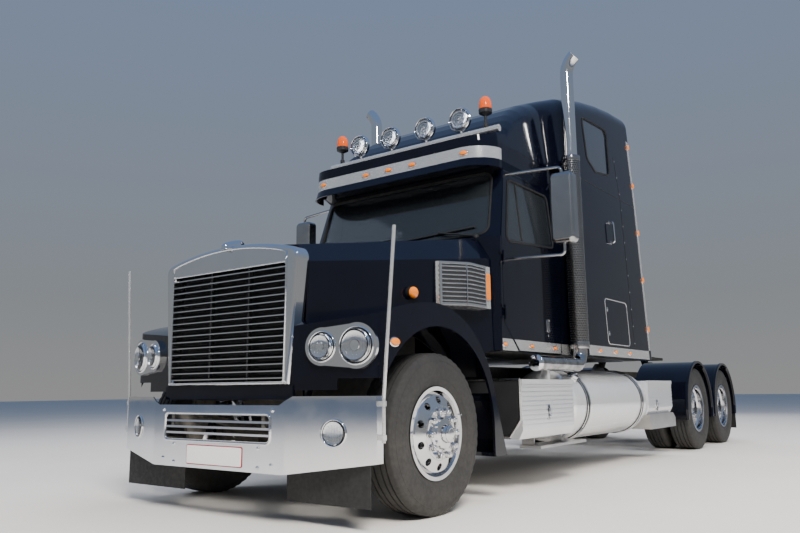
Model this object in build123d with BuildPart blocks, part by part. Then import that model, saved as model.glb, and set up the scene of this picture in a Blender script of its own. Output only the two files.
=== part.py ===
# Long-nose road tractor with a raised-roof sleeper and two driven rear axles.
# Millimetres. +Y runs from the bumper to the tail, +X to the truck's own left, +Z up from the ground.
# The origin is on the ground under the middle of the truck.
import os
from math import cos, radians, sin, sqrt, tan

from build123d import *

os.makedirs("parts", exist_ok=True)

# Lengthwise layout
front_overhang = 860.0      # bumper face to front axle
wheelbase = 6734.0          # front axle to the middle of the two rear axles
bogie_spread = 1317.0       # between the two rear axles
rear_overhang = 1326.0      # middle of the rear axles to the tail lamps
overall_length = front_overhang + wheelbase + rear_overhang
nose_y = -overall_length / 2
tail_y = overall_length / 2
front_axle_y = nose_y + front_overhang
bogie_y = front_axle_y + wheelbase
rear_axles_y = [bogie_y - bogie_spread / 2, bogie_y + bogie_spread / 2]

# Clearances
rest_gap = 0.3              # between pieces of one body that lie on each other
pin_gap = 0.05              # radial play of a pin in its bore
door_gap = 6.0              # round a door
swing_gap = 8.0             # between the hood and the cab

# Frame
rail_width = 864.0          # over the outsides of the two rails
rail_height = 270.0
rail_flange = 85.0
rail_wall = 9.0
rail_top = 1000.0
rail_front_y = front_axle_y - 680.0
rail_back_y = tail_y - 60.0
rail_out = rail_width / 2
rail_bottom = rail_top - rail_height
rail_mid = rail_top - rail_height / 2
web_in = rail_out - rail_wall

# Wheels
tyre_radius = 518.0
tyre_width = 280.0
tread_width = 230.0
rim_radius = 298.5          # over the rim flange
seat_radius = 285.5         # where the tyre's bead sits
rim_width = 236.0
rim_wall = 12.0
disc_wall = 22.0
axle_z = tyre_radius
steer_tyre_x = 1045.0       # middle of a front tyre
dual_out_x = 1074.0         # middle of an outer rear tyre
dual_spacing = 335.0
dual_in_x = dual_out_x - dual_spacing
hand_hole_radius = 24.0
hand_hole_circle = 212.0
stud_count = 10
stud_circle = 142.0

# Front axle and steering
kingpin_x = 880.0
kingpin_radius = 25.0
boss_radius = 48.0
boss_height = 140.0
beam_depth = 100.0          # of the axle beam, up and down
beam_width = 110.0
beam_drop = 75.0            # the middle of the beam lies this much under the wheel centres
spindle_radius = 38.0

# Hood
hood_wall = 18.0
hood_front_y = front_axle_y - 690.0
hood_back_y = front_axle_y + 1060.0
hood_side_z = 1095.0        # lower edge of the hood's sides, of the cab and of the sleeper
hood_hinge_y = front_axle_y - 730.0
hood_hinge_z = 800.0
hinge_pin_radius = 12.0
valance_bottom = 745.0
arch_radius = 690.0
fender_half = 1200.0        # half of the width over the front fenders
fender_top = 1360.0
fender_foot = 317.0
pod_half = 1042.0           # half of the width over the two air intakes

# Grille
grille_depth = 110.0
grille_bottom = 835.0
grille_half_low = 600.0
grille_half_high = 668.0
grille_shoulder = 1690.0
grille_crown = 1775.0
opening_low = 856.0
opening_high = 1602.0
opening_half_low = 556.0
opening_half_high = 566.0
louver_count = 17

# Bumper
bumper_half = 1213.0
bumper_mid_half = 640.0     # half of the flat middle
bumper_sweep = 165.0        # how far the ends lie back
bumper_wall = 8.0
bumper_top_mid = 712.0
bumper_top_end = 765.0
bumper_low_mid = 305.0
bumper_low_end = 382.0

# Cab
cab_wall = 60.0
cab_half = 1050.0
cab_half_top = 988.0        # at the windows' upper edge
cab_front_y = hood_back_y + swing_gap
cab_back_y = front_axle_y + 2440.0
floor_z = hood_side_z
belt_z = 2030.0             # foot of the windscreen
header_z = 2650.0           # head of the windscreen
brow_z = 2710.0
seam_z = 2860.0             # joint of the cab with its raised roof
screen_foot_y = front_axle_y + 1105.0
screen_head_y = front_axle_y + 1275.0
brow_y = front_axle_y + 1035.0
brow_half = 1010.0
glass_wall = 8.0
glass_inset = 8.0

# Sleeper and raised roof
sleeper_wall = 50.0
sleeper_half = 1200.0
sleeper_half_seam = 1132.0
sleeper_back_y = front_axle_y + 4360.0

# Exhaust stacks
stack_x = 1180.0
stack_y = front_axle_y + 2350.0
pipe_radius = 63.0
pipe_wall = 4.0
shield_radius = 84.0
shield_low = 1150.0
shield_high = 2977.0
duct_z = 1003.0

# Fuel tanks and side boxes
tank_radius = 322.0
tank_x = 880.0
tank_z = 645.0
tank_front_y = front_axle_y + 2135.0
tank_back_y = front_axle_y + 4050.0
box_out = 1200.0
box_in = 505.0
box_top = 865.0
box_low = 410.0

# Fifth wheel
plate_radius = 455.0
plate_wall = 38.0
plate_top = 1225.0
plate_pivot_z = 1130.0
jaw_radius = 25.5


# Ladder frame: two channels, open inwards
with BuildPart() as frame_rails:
    with BuildSketch(Plane.XZ.offset(-rail_front_y)):
        with Locations((rail_out - rail_flange / 2, rail_mid)):
            Rectangle(rail_flange, rail_height)
        with Locations((rail_out - rail_wall - rail_flange / 2, rail_mid)):
            Rectangle(rail_flange, rail_height - 2 * rail_wall, mode=Mode.SUBTRACT)
        mirror(about=Plane.YZ)
    extrude(amount=-(rail_back_y - rail_front_y))
frame_rails.part.label = "frame_rails"
export_step(frame_rails.part, "parts/frame_rails.step")

# Channel crossmembers between the webs, and the four engine feet
member_wall = 10.0
member_gap = 6.0            # over and under a crossmember, inside the rail
engine_half = 320.0
engine_front_y = front_axle_y - 330.0
engine_back_y = front_axle_y + 950.0
engine_low = 620.0
engine_high = 1600.0
crossmembers_at = [         # lengthwise place, width along the truck, the way the channel opens
    (rail_front_y + 30.0, 60.0, 1),
    (front_axle_y + 1900.0, 90.0, 1),
    (front_axle_y + 3100.0, 90.0, 1),
    (front_axle_y + 4700.0, 90.0, 1),
    (bogie_y, 120.0, 1),
    (rail_back_y - 45.0, 90.0, -1),
]
gearbox_z = 800.0
gearbox_back_y = engine_back_y + 800.0
shaft_radius = 55.0
shaft_arch = 35.0           # clearance of a crossmember's arch over the shaft
pinion_length = 330.0
pinion_lift = 60.0          # of the pinion above the wheel centres
pinion_z = axle_z + pinion_lift
shaft_fall = (gearbox_z - pinion_z) / (rear_axles_y[0] - pinion_length - gearbox_back_y)
with BuildPart() as crossmembers:
    for member_y, member_width, opening in crossmembers_at:
        member_height = rail_height - 2 * rail_wall - 2 * member_gap
        with BuildSketch(Plane.YZ.offset(-web_in)):
            with Locations((member_y, rail_mid)):
                Rectangle(member_width, member_height)
            with Locations((member_y + opening * member_wall, rail_mid)):
                Rectangle(member_width, member_height - 2 * member_wall, mode=Mode.SUBTRACT)
        extrude(amount=2 * web_in)
        if gearbox_back_y < member_y < rear_axles_y[0]:
            with BuildSketch(Plane.XZ.offset(-(member_y - member_width))):
                with Locations((0, gearbox_z - shaft_fall * (member_y - gearbox_back_y))):
                    Circle(shaft_radius + shaft_arch)
                    Rectangle(2 * (shaft_radius + shaft_arch), rail_height, align=(Align.CENTER, Align.MAX))
            extrude(amount=-2 * member_width, mode=Mode.SUBTRACT)
    for foot_y in (engine_front_y + 150.0, engine_back_y - 150.0):
        for side in (-1, 1):
            foot_length = web_in - engine_half
            with Locations((side * (engine_half + foot_length / 2), foot_y, rail_mid)):
                Box(foot_length, 90, 110)
crossmembers.part.label = "crossmembers"
export_step(crossmembers.part, "parts/crossmembers.step")

# Engine as one plain block, radiator in front of it
with BuildPart() as engine_block:
    with BuildSketch(Plane.XY.offset(engine_low)):
        with Locations((0, (engine_front_y + engine_back_y) / 2)):
            Rectangle(2 * engine_half, engine_back_y - engine_front_y)
    extrude(amount=engine_high - engine_low)
engine_block.part.label = "engine_block"
export_step(engine_block.part, "parts/engine_block.step")

radiator_half = 420.0
radiator_wall = 80.0
radiator_front_y = front_axle_y - 610.0
radiator_top = 1630.0
radiator_low = 810.0
with BuildPart() as radiator:
    with BuildSketch(Plane.XZ.offset(-radiator_front_y)):
        with Locations((0, (rail_top + radiator_top) / 2)):
            Rectangle(2 * radiator_half, radiator_top - rail_top)
        with Locations((0, (rail_top + radiator_low) / 2)):
            Rectangle(2 * (rail_out - rail_flange) - 20, rail_top - radiator_low)
    extrude(amount=-radiator_wall)
radiator.part.label = "radiator"
export_step(radiator.part, "parts/radiator.step")

# Gearbox, propeller shafts and the two drive axle housings
gearbox_radius = 230.0
gearbox_tail_radius = 140.0
housing_radius = 66.0
banjo_radius = 190.0
banjo_half = 150.0
pinion_radius = 100.0
shaft_overlap = 10.0
housing_end_x = 628.0
stub_radius = 45.0
stub_end_x = 860.0
with BuildPart() as driveline:
    with BuildSketch(Plane.XZ.offset(-engine_back_y)):
        with Locations((0, gearbox_z)):
            Circle(gearbox_radius)
    with BuildSketch(Plane.XZ.offset(-gearbox_back_y)):
        with Locations((0, gearbox_z)):
            Circle(gearbox_tail_radius)
    loft()
    for axle_y in rear_axles_y:
        with BuildSketch(Plane.YZ.offset(-housing_end_x)):
            with Locations((axle_y, axle_z)):
                Circle(housing_radius)
        extrude(amount=2 * housing_end_x)
        with BuildSketch(Plane.YZ.offset(-stub_end_x)):
            with Locations((axle_y, axle_z)):
                Circle(stub_radius)
        extrude(amount=2 * stub_end_x)
        with BuildSketch(Plane.YZ.offset(-banjo_half)):
            with Locations((axle_y, axle_z)):
                Circle(banjo_radius)
        extrude(amount=2 * banjo_half)
        with BuildSketch(Plane.XZ.offset(-(axle_y - pinion_length))):
            with Locations((0, pinion_z)):
                Circle(pinion_radius)
        extrude(amount=-pinion_length)
    shaft_runs = [          # start y, start z, end y, end z
        (gearbox_back_y - shaft_overlap, gearbox_z,
         rear_axles_y[0] - pinion_length + shaft_overlap, pinion_z),
        (rear_axles_y[0], pinion_z, rear_axles_y[1] - pinion_length + shaft_overlap, pinion_z),
    ]
    for start_y, start_z, end_y, end_z in shaft_runs:
        run = Vector(0, end_y - start_y, end_z - start_z)
        with BuildSketch(Plane(origin=(0, start_y, start_z), z_dir=run)):
            Circle(shaft_radius)
        extrude(amount=run.length)
driveline.part.label = "driveline"
export_step(driveline.part, "parts/driveline.step")

# Dropped front axle beam of I section, with a kingpin boss at each end
beam_z = axle_z - beam_drop
seat_half = 500.0
with BuildPart() as front_axle_beam:
    with BuildSketch(Plane.XZ.offset(-(front_axle_y - beam_width / 2))):
        with BuildLine():
            Polyline(
                (0, beam_z - beam_depth / 2), (seat_half, beam_z - beam_depth / 2),
                (kingpin_x, axle_z - 45), (kingpin_x, axle_z + 45),
                (seat_half - 40, beam_z + beam_depth / 2), (0, beam_z + beam_depth / 2),
            )
            Line((0, beam_z + beam_depth / 2), (0, beam_z - beam_depth / 2))
        make_face()
        mirror(about=Plane.YZ)
    extrude(amount=-beam_width)
    for face_y, way in ((front_axle_y - beam_width / 2, -1), (front_axle_y + beam_width / 2, 1)):
        with BuildSketch(Plane.XZ.offset(-face_y)):
            with Locations((0, beam_z)):
                Rectangle(2 * seat_half - 80, beam_depth - 36)
        extrude(amount=way * 35, mode=Mode.SUBTRACT)
    for side in (-1, 1):
        with BuildSketch(Plane.XY.offset(axle_z - boss_height / 2)):
            with Locations((side * kingpin_x, front_axle_y)):
                Circle(boss_radius)
        extrude(amount=boss_height)
        with BuildSketch(Plane.XY.offset(axle_z - boss_height)):
            with Locations((side * kingpin_x, front_axle_y)):
                Circle(kingpin_radius + pin_gap)
        extrude(amount=2 * boss_height, mode=Mode.SUBTRACT)
front_axle_beam.part.label = "front_axle_beam"
export_step(front_axle_beam.part, "parts/front_axle_beam.step")

# Front leaf springs with hangers, rear trailing arms with air springs
spring_x = rail_out - rail_flange / 2
spring_width = 76.0
spring_half = 640.0
eye_radius = 32.0
eye_z = 640.0
spring_seat = beam_z + beam_depth / 2
leaf_pack = 62.0
leaf_end = 26.0
arm_width = 76.0
arm_seat = axle_z + housing_radius
air_radius = 118.0
with BuildPart() as suspension:
    for side in (-1, 1):
        with BuildSketch(Plane.YZ.offset(side * spring_x - spring_width / 2)):
            with BuildLine():
                low = ThreePointArc(
                    (front_axle_y - spring_half, eye_z - leaf_end / 2),
                    (front_axle_y, spring_seat),
                    (front_axle_y + spring_half, eye_z - leaf_end / 2),
                )
                high = ThreePointArc(
                    (front_axle_y - spring_half, eye_z + leaf_end / 2),
                    (front_axle_y, spring_seat + leaf_pack),
                    (front_axle_y + spring_half, eye_z + leaf_end / 2),
                )
                Line(low @ 0, high @ 0)
                Line(low @ 1, high @ 1)
            make_face()
            for eye_y in (front_axle_y - spring_half, front_axle_y + spring_half):
                with Locations((eye_y, eye_z)):
                    Circle(eye_radius)
        extrude(amount=spring_width)
        for eye_y, fore_reach in ((front_axle_y - spring_half, 30), (front_axle_y + spring_half, 60)):
            with BuildSketch(Plane.YZ.offset(side * spring_x - spring_width / 2)):
                with BuildLine():
                    Polyline((eye_y - 26, eye_z), (eye_y + 26, eye_z), (eye_y + 60, rail_bottom),
                             (eye_y - fore_reach, rail_bottom), (eye_y - 26, eye_z))
                make_face()
            extrude(amount=spring_width)
        for axle_y in rear_axles_y:
            with BuildSketch(Plane.YZ.offset(side * spring_x - arm_width / 2)):
                with BuildLine():
                    Polyline(
                        (axle_y - 560, rail_bottom), (axle_y - 560, arm_seat - 10),
                        (axle_y - 470, arm_seat - 30), (axle_y - 120, arm_seat),
                        (axle_y + 120, arm_seat), (axle_y + 440, arm_seat - 20),
                        (axle_y + 440, arm_seat + 25), (axle_y + 100, arm_seat + 62),
                        (axle_y - 120, arm_seat + 62), (axle_y - 440, arm_seat + 45),
                        (axle_y - 420, rail_bottom), (axle_y - 560, rail_bottom),
                    )
                make_face()
            extrude(amount=arm_width)
            with BuildSketch(Plane.XY.offset(arm_seat)):
                with Locations((side * spring_x, axle_y + 330)):
                    Circle(air_radius)
            extrude(amount=rail_bottom - arm_seat)
suspension.part.label = "suspension"
export_step(suspension.part, "parts/suspension.step")

# Brackets that carry the bumper and the front mudflaps, and the fork of the hood's hinge
bracket_wall = 28.0
bracket_low = 560.0
bracket_high = 690.0        # stays under the hood's front edge as that tilts
bracket_reach = 200.0       # along the rail
flap_y = front_axle_y - 690.0
flap_bar_z = 460.0
flap_bar = 36.0
flap_wall = 8.0
flap_out = 1165.0
bumper_back_y = nose_y + bumper_wall
fork_x = 250.0
ear_wall = 28.0
fork_wall = 16.0
fork_gap = 5.0
with BuildPart() as nose_brackets:
    for side in (-1, 1):
        with BuildSketch(Plane.YZ.offset(side * (rail_out + rest_gap))):
            with BuildLine():
                Polyline(
                    (bumper_back_y, bracket_low), (bumper_back_y, bracket_high),
                    (rail_front_y, bracket_high), (rail_front_y, rail_mid),
                    (rail_front_y + bracket_reach, rail_mid), (rail_front_y + bracket_reach, rail_bottom + 30),
                    (rail_front_y + 60, flap_bar_z - 30), (rail_front_y - 20, flap_bar_z - 30),
                    (rail_front_y - 70, bracket_low), close=True,
                )
            make_face()
        extrude(amount=side * bracket_wall)
        bar_length = flap_out - rail_out - rest_gap
        with Locations((side * (flap_out - bar_length / 2), flap_y + flap_bar / 2 + flap_wall / 2, flap_bar_z)):
            Box(bar_length, flap_bar, flap_bar)
        for plate_x in (fork_x - ear_wall / 2 - fork_gap - fork_wall, fork_x + ear_wall / 2 + fork_gap):
            with BuildSketch(Plane.YZ.offset(plate_x if side > 0 else -plate_x - fork_wall)):
                with Locations((hood_hinge_y, hood_hinge_z)):
                    Circle(26)
                with BuildLine():
                    Polyline(
                        (hood_hinge_y - 20, hood_hinge_z), (hood_hinge_y - 5, rail_mid - 90),
                        (rail_front_y, rail_mid - 90), (rail_front_y, hood_hinge_z + 20),
                        (hood_hinge_y, hood_hinge_z + 20), (hood_hinge_y - 20, hood_hinge_z),
                    )
                make_face()
            extrude(amount=fork_wall)
        pin_length = ear_wall + 2 * fork_gap + 2 * fork_wall
        with BuildSketch(Plane.YZ.offset(side * fork_x - pin_length / 2)):
            with Locations((hood_hinge_y, hood_hinge_z)):
                Circle(hinge_pin_radius)
        extrude(amount=pin_length)
nose_brackets.part.label = "nose_brackets"
export_step(nose_brackets.part, "parts/nose_brackets.step")

# Bumper: one pressed plate with swept ends, a slotted inlet and two lamp holes
bumper_low_bend = 620.0
step_in = 590.0
step_out = 690.0
inlet_half = 505.0
inlet_low = 489.0
inlet_high = 647.0
fog_x = 938.0
fog_z = 552.0
fog_radius = 72.0
inlet_bars = 3
inlet_bar_height = 14.0
bumper_end_y = nose_y + bumper_wall + bumper_sweep * (1 - bumper_wall / (bumper_half - bumper_mid_half))
with BuildPart() as bumper:
    with BuildSketch(Plane.XY.offset(bumper_low_mid - 20)):
        with BuildLine():
            Polyline((-bumper_half, nose_y + bumper_sweep), (-bumper_mid_half, nose_y),
                     (bumper_mid_half, nose_y), (bumper_half, nose_y + bumper_sweep))
            Polyline(
                (bumper_half, nose_y + bumper_sweep), (bumper_half, nose_y + bumper_sweep + 60),
                (bumper_half - bumper_wall, nose_y + bumper_sweep + 60),
                (bumper_half - bumper_wall, bumper_end_y),
                (bumper_mid_half, nose_y + bumper_wall), (-bumper_mid_half, nose_y + bumper_wall),
                (-bumper_half + bumper_wall, bumper_end_y),
                (-bumper_half + bumper_wall, nose_y + bumper_sweep + 60),
                (-bumper_half, nose_y + bumper_sweep + 60), (-bumper_half, nose_y + bumper_sweep),
            )
        make_face()
    extrude(amount=bumper_top_end - bumper_low_mid + 40)
    with BuildSketch(Plane.XZ.offset(-(nose_y - 10))):
        with BuildLine():
            Polyline(
                (0, bumper_low_mid), (bumper_low_bend, bumper_low_mid), (bumper_half, bumper_low_end),
                (bumper_half, bumper_top_end), (step_out, bumper_top_end), (step_in, bumper_top_mid),
                (0, bumper_top_mid),
            )
            Line((0, bumper_top_mid), (0, bumper_low_mid))
        make_face()
        mirror(about=Plane.YZ)
    extrude(amount=-(bumper_sweep + 120), mode=Mode.INTERSECT)
    with BuildSketch(Plane.XZ.offset(-(nose_y - 10))):
        with Locations((0, (inlet_low + inlet_high) / 2)):
            RectangleRounded(2 * inlet_half, inlet_high - inlet_low, 28)
    extrude(amount=-60, mode=Mode.SUBTRACT)
    with BuildSketch(Plane.XZ.offset(-(nose_y - 10))):
        with Locations((-fog_x, fog_z), (fog_x, fog_z)):
            Circle(fog_radius)
    extrude(amount=-200, mode=Mode.SUBTRACT)
    bar_pitch = (inlet_high - inlet_low) / (inlet_bars + 1)
    for bar in range(inlet_bars):
        with Locations((0, nose_y + bumper_wall / 2, inlet_low + (bar + 1) * bar_pitch)):
            Box(2 * inlet_half, bumper_wall, inlet_bar_height)
bumper.part.label = "bumper"
export_step(bumper.part, "parts/bumper.step")

# Fog lamps in the bumper's swept ends, guide poles on its corners
sweep_angle = 16.05
fog_set = 4.0               # lens behind the bumper's face
fog_y = nose_y + bumper_sweep * (fog_x - bumper_mid_half) / (bumper_half - bumper_mid_half)
with BuildPart() as fog_lamps:
    for side in (-1, 1):
        lamp_plane = Plane(origin=(side * fog_x, fog_y + fog_set, fog_z),
                           x_dir=(1, side * tan(radians(sweep_angle)), 0),
                           z_dir=(side * sin(radians(sweep_angle)), -cos(radians(sweep_angle)), 0))
        with BuildSketch(lamp_plane.offset(-50)):
            Circle(fog_radius - 6)
        extrude(amount=56)
        flange_depth = (bumper_wall - fog_set) * cos(radians(sweep_angle)) + rest_gap
        with BuildSketch(lamp_plane.offset(-flange_depth)):
            Circle(fog_radius + 14)
        extrude(amount=-10)
fog_lamps.part.label = "fog_lamps"
export_step(fog_lamps.part, "parts/fog_lamps.step")

pole_x = 1245.0
pole_y = nose_y + bumper_sweep + 25.0
pole_low = 500.0
pole_bend = 750.0
pole_tip = 1756.0
pole_lean = 86.0
pole_radius = 11.0
with BuildPart() as guide_poles:
    for side in (-1, 1):
        with BuildSketch(Plane.XY.offset(pole_low)):
            with Locations((side * pole_x, pole_y)):
                Circle(pole_radius)
        extrude(amount=pole_bend - pole_low)
        lean = Vector(side * pole_lean, 0, pole_tip - pole_bend)
        with BuildSketch(Plane(origin=(side * pole_x, pole_y, pole_bend), z_dir=lean)):
            Circle(pole_radius)
        extrude(amount=lean.length)
        with Locations((side * pole_x, pole_y, pole_bend)):
            Sphere(pole_radius)
        clamp_length = pole_x - bumper_half - rest_gap
        for clamp_z in (pole_low + 30, pole_bend - 30):
            with Locations((side * (bumper_half + rest_gap + clamp_length / 2), pole_y, clamp_z)):
                Box(clamp_length, 2 * pole_radius + 12, 30)
            with BuildSketch(Plane.XY.offset(clamp_z - 15)):
                with Locations((side * pole_x, pole_y)):
                    Circle(pole_radius + 6)
            extrude(amount=30)
guide_poles.part.label = "guide_poles"
export_step(guide_poles.part, "parts/guide_poles.step")

# Front mudflaps hang from their bars, rear ones from tubes behind the last axle
flap_in = 500.0
flap_low = 130.0
rear_flap_low = 180.0
rear_flap_in = 610.0
rear_flap_out = 1220.0
rear_flap_y = rear_axles_y[1] + 625.0
rear_flap_bar_z = 760.0
tube_radius = 18.0
with BuildPart() as mudflaps:
    for side in (-1, 1):
        flap_width = flap_out - flap_in
        with Locations((side * (flap_in + flap_width / 2), flap_y, (flap_low + flap_bar_z) / 2)):
            Box(flap_width, flap_wall - 2 * rest_gap, flap_bar_z - flap_low)
        rear_width = rear_flap_out - rear_flap_in
        with Locations((side * (rear_flap_in + rear_width / 2), rear_flap_y,
                        (rear_flap_low + rear_flap_bar_z) / 2)):
            Box(rear_width, flap_wall, rear_flap_bar_z - rear_flap_low)
mudflaps.part.label = "mudflaps"
export_step(mudflaps.part, "parts/mudflaps.step")

# Hood: tapered nose and two fender bulges, hollow, open below and at the wheel arches
nose_sections = [           # y, lower half, lower z, crease half, crease z, shoulder half, shoulder z, crown
    (hood_front_y, 640.0, valance_bottom, 672.0, 1612.0, 560.0, 1735.0, 1768.0),
    (hood_back_y, 1000.0, hood_side_z, 985.0, 1835.0, 868.0, 2012.0, 2055.0),
]


def nose_block(inset, reach):
    """The nose between its two sections, moved in by the wall and lengthwise by reach."""
    with BuildPart() as block:
        for end, row in enumerate(nose_sections):
            y, low_half, low_z, crease_half, crease_z, shoulder_half, shoulder_z, crown = row
            bottom = low_z - (60.0 if inset else 0.0)
            shoulder = shoulder_half - inset * 0.6
            with BuildSketch(Plane.XZ.offset(-(y + (reach if end else -reach)))):
                with BuildLine():
                    Polyline((-shoulder, shoulder_z - inset), (-crease_half + inset, crease_z),
                             (-low_half + inset, bottom), (low_half - inset, bottom),
                             (crease_half - inset, crease_z), (shoulder, shoulder_z - inset))
                    ThreePointArc((-shoulder, shoulder_z - inset), (0, crown - inset),
                                  (shoulder, shoulder_z - inset))
                make_face()
        loft()
    return block.part


nose_outer = nose_block(0, 0)
nose_inner = nose_block(hood_wall, 2)

fender_face_in = front_axle_y - 778.0       # fender's front face beside the grille
fender_face_out = front_axle_y - 668.0      # and near its outer corner
fender_inner_x = 610.0
fender_bend_x = 1105.0
fender_back_y = front_axle_y + 862.0


def fender_block(inset):
    """The left fender's outer form: its side view cut to its plan view."""
    with BuildPart() as block:
        with BuildSketch(Plane.YZ.offset(fender_inner_x)):
            with BuildLine():
                Line((front_axle_y - 800, 800), (front_axle_y - 800, 1185))
                ThreePointArc((front_axle_y - 800, 1185), (front_axle_y - 430, 1312),
                              (front_axle_y - 50, fender_top))
                ThreePointArc((front_axle_y - 50, fender_top), (front_axle_y + 395, 1215),
                              (front_axle_y + 665, 890))
                Polyline((front_axle_y + 665, 890), (fender_back_y, fender_foot),
                         (front_axle_y + 700, fender_foot), (front_axle_y + 500, 800),
                         (front_axle_y - 800, 800))
            make_face()
            if inset:
                offset(amount=-inset)
        extrude(amount=fender_half - fender_inner_x)
        with BuildSketch(Plane.XY.offset(fender_foot - 50)):
            with BuildLine():
                Line((fender_inner_x, fender_face_in), (fender_bend_x, fender_face_out))
                TangentArc((fender_bend_x, fender_face_out), (fender_half, front_axle_y - 545),
                           tangent=(1, 0.222))
                Polyline((fender_half, front_axle_y - 545), (fender_half, fender_back_y),
                         (fender_inner_x, fender_back_y), (fender_inner_x, fender_face_in))
            make_face()
            if inset:
                offset(amount=-inset)
        extrude(amount=fender_top, mode=Mode.INTERSECT)
    return block.part


fender_left = fender_block(0)
fender_left_inner = fender_block(hood_wall)

with BuildPart() as fender_void:
    add(fender_left_inner)
    with BuildSketch(Plane.YZ.offset(fender_inner_x)):
        with Locations((front_axle_y, axle_z)):
            Rectangle(2 * arch_radius + 2 * hood_wall, 700)
            Circle(arch_radius + hood_wall)
    extrude(amount=fender_half - hood_wall - fender_inner_x)
    add(nose_outer, mode=Mode.SUBTRACT)

valance_y = front_axle_y - 785.0
valance_wall = 22.0


def grille_block(grow):
    """The grille shell's outer form, crowned and round-shouldered, grown all round."""
    with BuildPart() as block:
        with BuildSketch(Plane.XZ.offset(-hood_front_y)):
            with BuildLine():
                Polyline((-grille_half_high, grille_shoulder), (-grille_half_low, grille_bottom),
                         (grille_half_low, grille_bottom), (grille_half_high, grille_shoulder))
                ThreePointArc((grille_half_high, grille_shoulder), (0, grille_crown),
                              (-grille_half_high, grille_shoulder))
            shell = make_face()
            fillet(shell.vertices().group_by(Axis.Y)[-1], radius=75)
            if grow:
                offset(amount=grow)
        extrude(amount=grille_depth + grow)
    return block.part


with BuildPart() as hood_shell:
    add(nose_outer)
    add(fender_left)
    mirror(fender_left, about=Plane.YZ)
    add(grille_block(rest_gap), mode=Mode.SUBTRACT)
    add(nose_inner, mode=Mode.SUBTRACT)
    add(fender_void.part, mode=Mode.SUBTRACT)
    mirror(fender_void.part, about=Plane.YZ, mode=Mode.SUBTRACT)
    with BuildSketch(Plane.YZ.offset(-1300)):
        with Locations((front_axle_y, axle_z)):
            Circle(arch_radius)
        with Locations((front_axle_y, axle_z - 300)):
            Rectangle(2 * arch_radius, 600)
    extrude(amount=2600, mode=Mode.SUBTRACT)
    with BuildSketch(Plane.XY.offset(valance_bottom)):
        with Locations((0, valance_y + valance_wall / 2)):
            Rectangle(2 * fender_inner_x + 40, valance_wall)
    extrude(amount=grille_bottom - valance_bottom)
    for side in (-1, 1):
        with BuildSketch(Plane.YZ.offset(side * fork_x - ear_wall / 2)):
            with Locations((hood_hinge_y, hood_hinge_z)):
                Circle(26)
                Rectangle(52, 40, align=(Align.MAX, Align.CENTER))
        extrude(amount=ear_wall)
        with BuildSketch(Plane.YZ.offset(side * fork_x - ear_wall)):
            with Locations((hood_hinge_y, hood_hinge_z)):
                Circle(hinge_pin_radius + pin_gap)
        extrude(amount=2 * ear_wall, mode=Mode.SUBTRACT)
hood_shell.part.label = "hood_shell"
export_step(hood_shell.part, "parts/hood_shell.step")

# Polished shell round the grille, with its crowned head and rounded corners
opening_outline = [(-opening_half_high, opening_high), (-opening_half_low, opening_low),
                   (opening_half_low, opening_low), (opening_half_high, opening_high)]
opening_corner = 22.0
with BuildPart() as grille_surround:
    add(grille_block(0))
    fillet(grille_surround.faces().sort_by(Axis.Y)[0].outer_wire().edges(), radius=24)
    with BuildSketch(Plane.XZ.offset(-hood_front_y)):
        with BuildLine():
            Polyline(*opening_outline, close=True)
        hole = make_face()
        fillet(hole.vertices(), radius=opening_corner)
    extrude(amount=grille_depth, mode=Mode.SUBTRACT)
grille_surround.part.label = "grille_surround"
export_step(grille_surround.part, "parts/grille_surround.step")

# Louvers of the grille: slanted blades with a rounded nose, tied by two posts behind them
louver_pitch = (opening_high - opening_low) / louver_count
louver_face_y = hood_front_y - grille_depth + 18.0
louver_depth = 46.0
louver_nose = 20.0
louver_tail = 7.0
louver_drop = 12.0
post_x = 190.0
post_width = 24.0
post_depth = 12.0
with BuildPart() as grille_bars:
    for row in range(louver_count):
        bar_z = opening_low + (row + 0.5) * louver_pitch
        with BuildSketch(Plane.YZ.offset(-opening_half_high)):
            with BuildLine():
                Line((louver_face_y + 8, bar_z + louver_nose / 2),
                     (louver_face_y + louver_depth, bar_z + louver_drop + louver_tail))
                Line((louver_face_y + louver_depth, bar_z + louver_drop + louver_tail),
                     (louver_face_y + louver_depth, bar_z + louver_drop))
                Line((louver_face_y + louver_depth, bar_z + louver_drop),
                     (louver_face_y + 8, bar_z - louver_nose / 2))
                ThreePointArc((louver_face_y + 8, bar_z - louver_nose / 2), (louver_face_y, bar_z),
                              (louver_face_y + 8, bar_z + louver_nose / 2))
            make_face()
        extrude(amount=2 * opening_half_high)
    with BuildSketch(Plane.XZ.offset(-(louver_face_y + louver_depth - 4))):
        with Locations((-post_x, (opening_low + opening_high) / 2), (post_x, (opening_low + opening_high) / 2)):
            Rectangle(post_width, opening_high - opening_low)
    extrude(amount=-post_depth)
    with BuildSketch(Plane.XZ.offset(-hood_front_y)):
        with BuildLine():
            Polyline(*opening_outline, close=True)
        hole = make_face()
        fillet(hole.vertices(), radius=opening_corner)
        offset(amount=-rest_gap)
    extrude(amount=grille_depth, mode=Mode.INTERSECT)
grille_bars.part.label = "grille_bars"
export_step(grille_bars.part, "parts/grille_bars.step")

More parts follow.
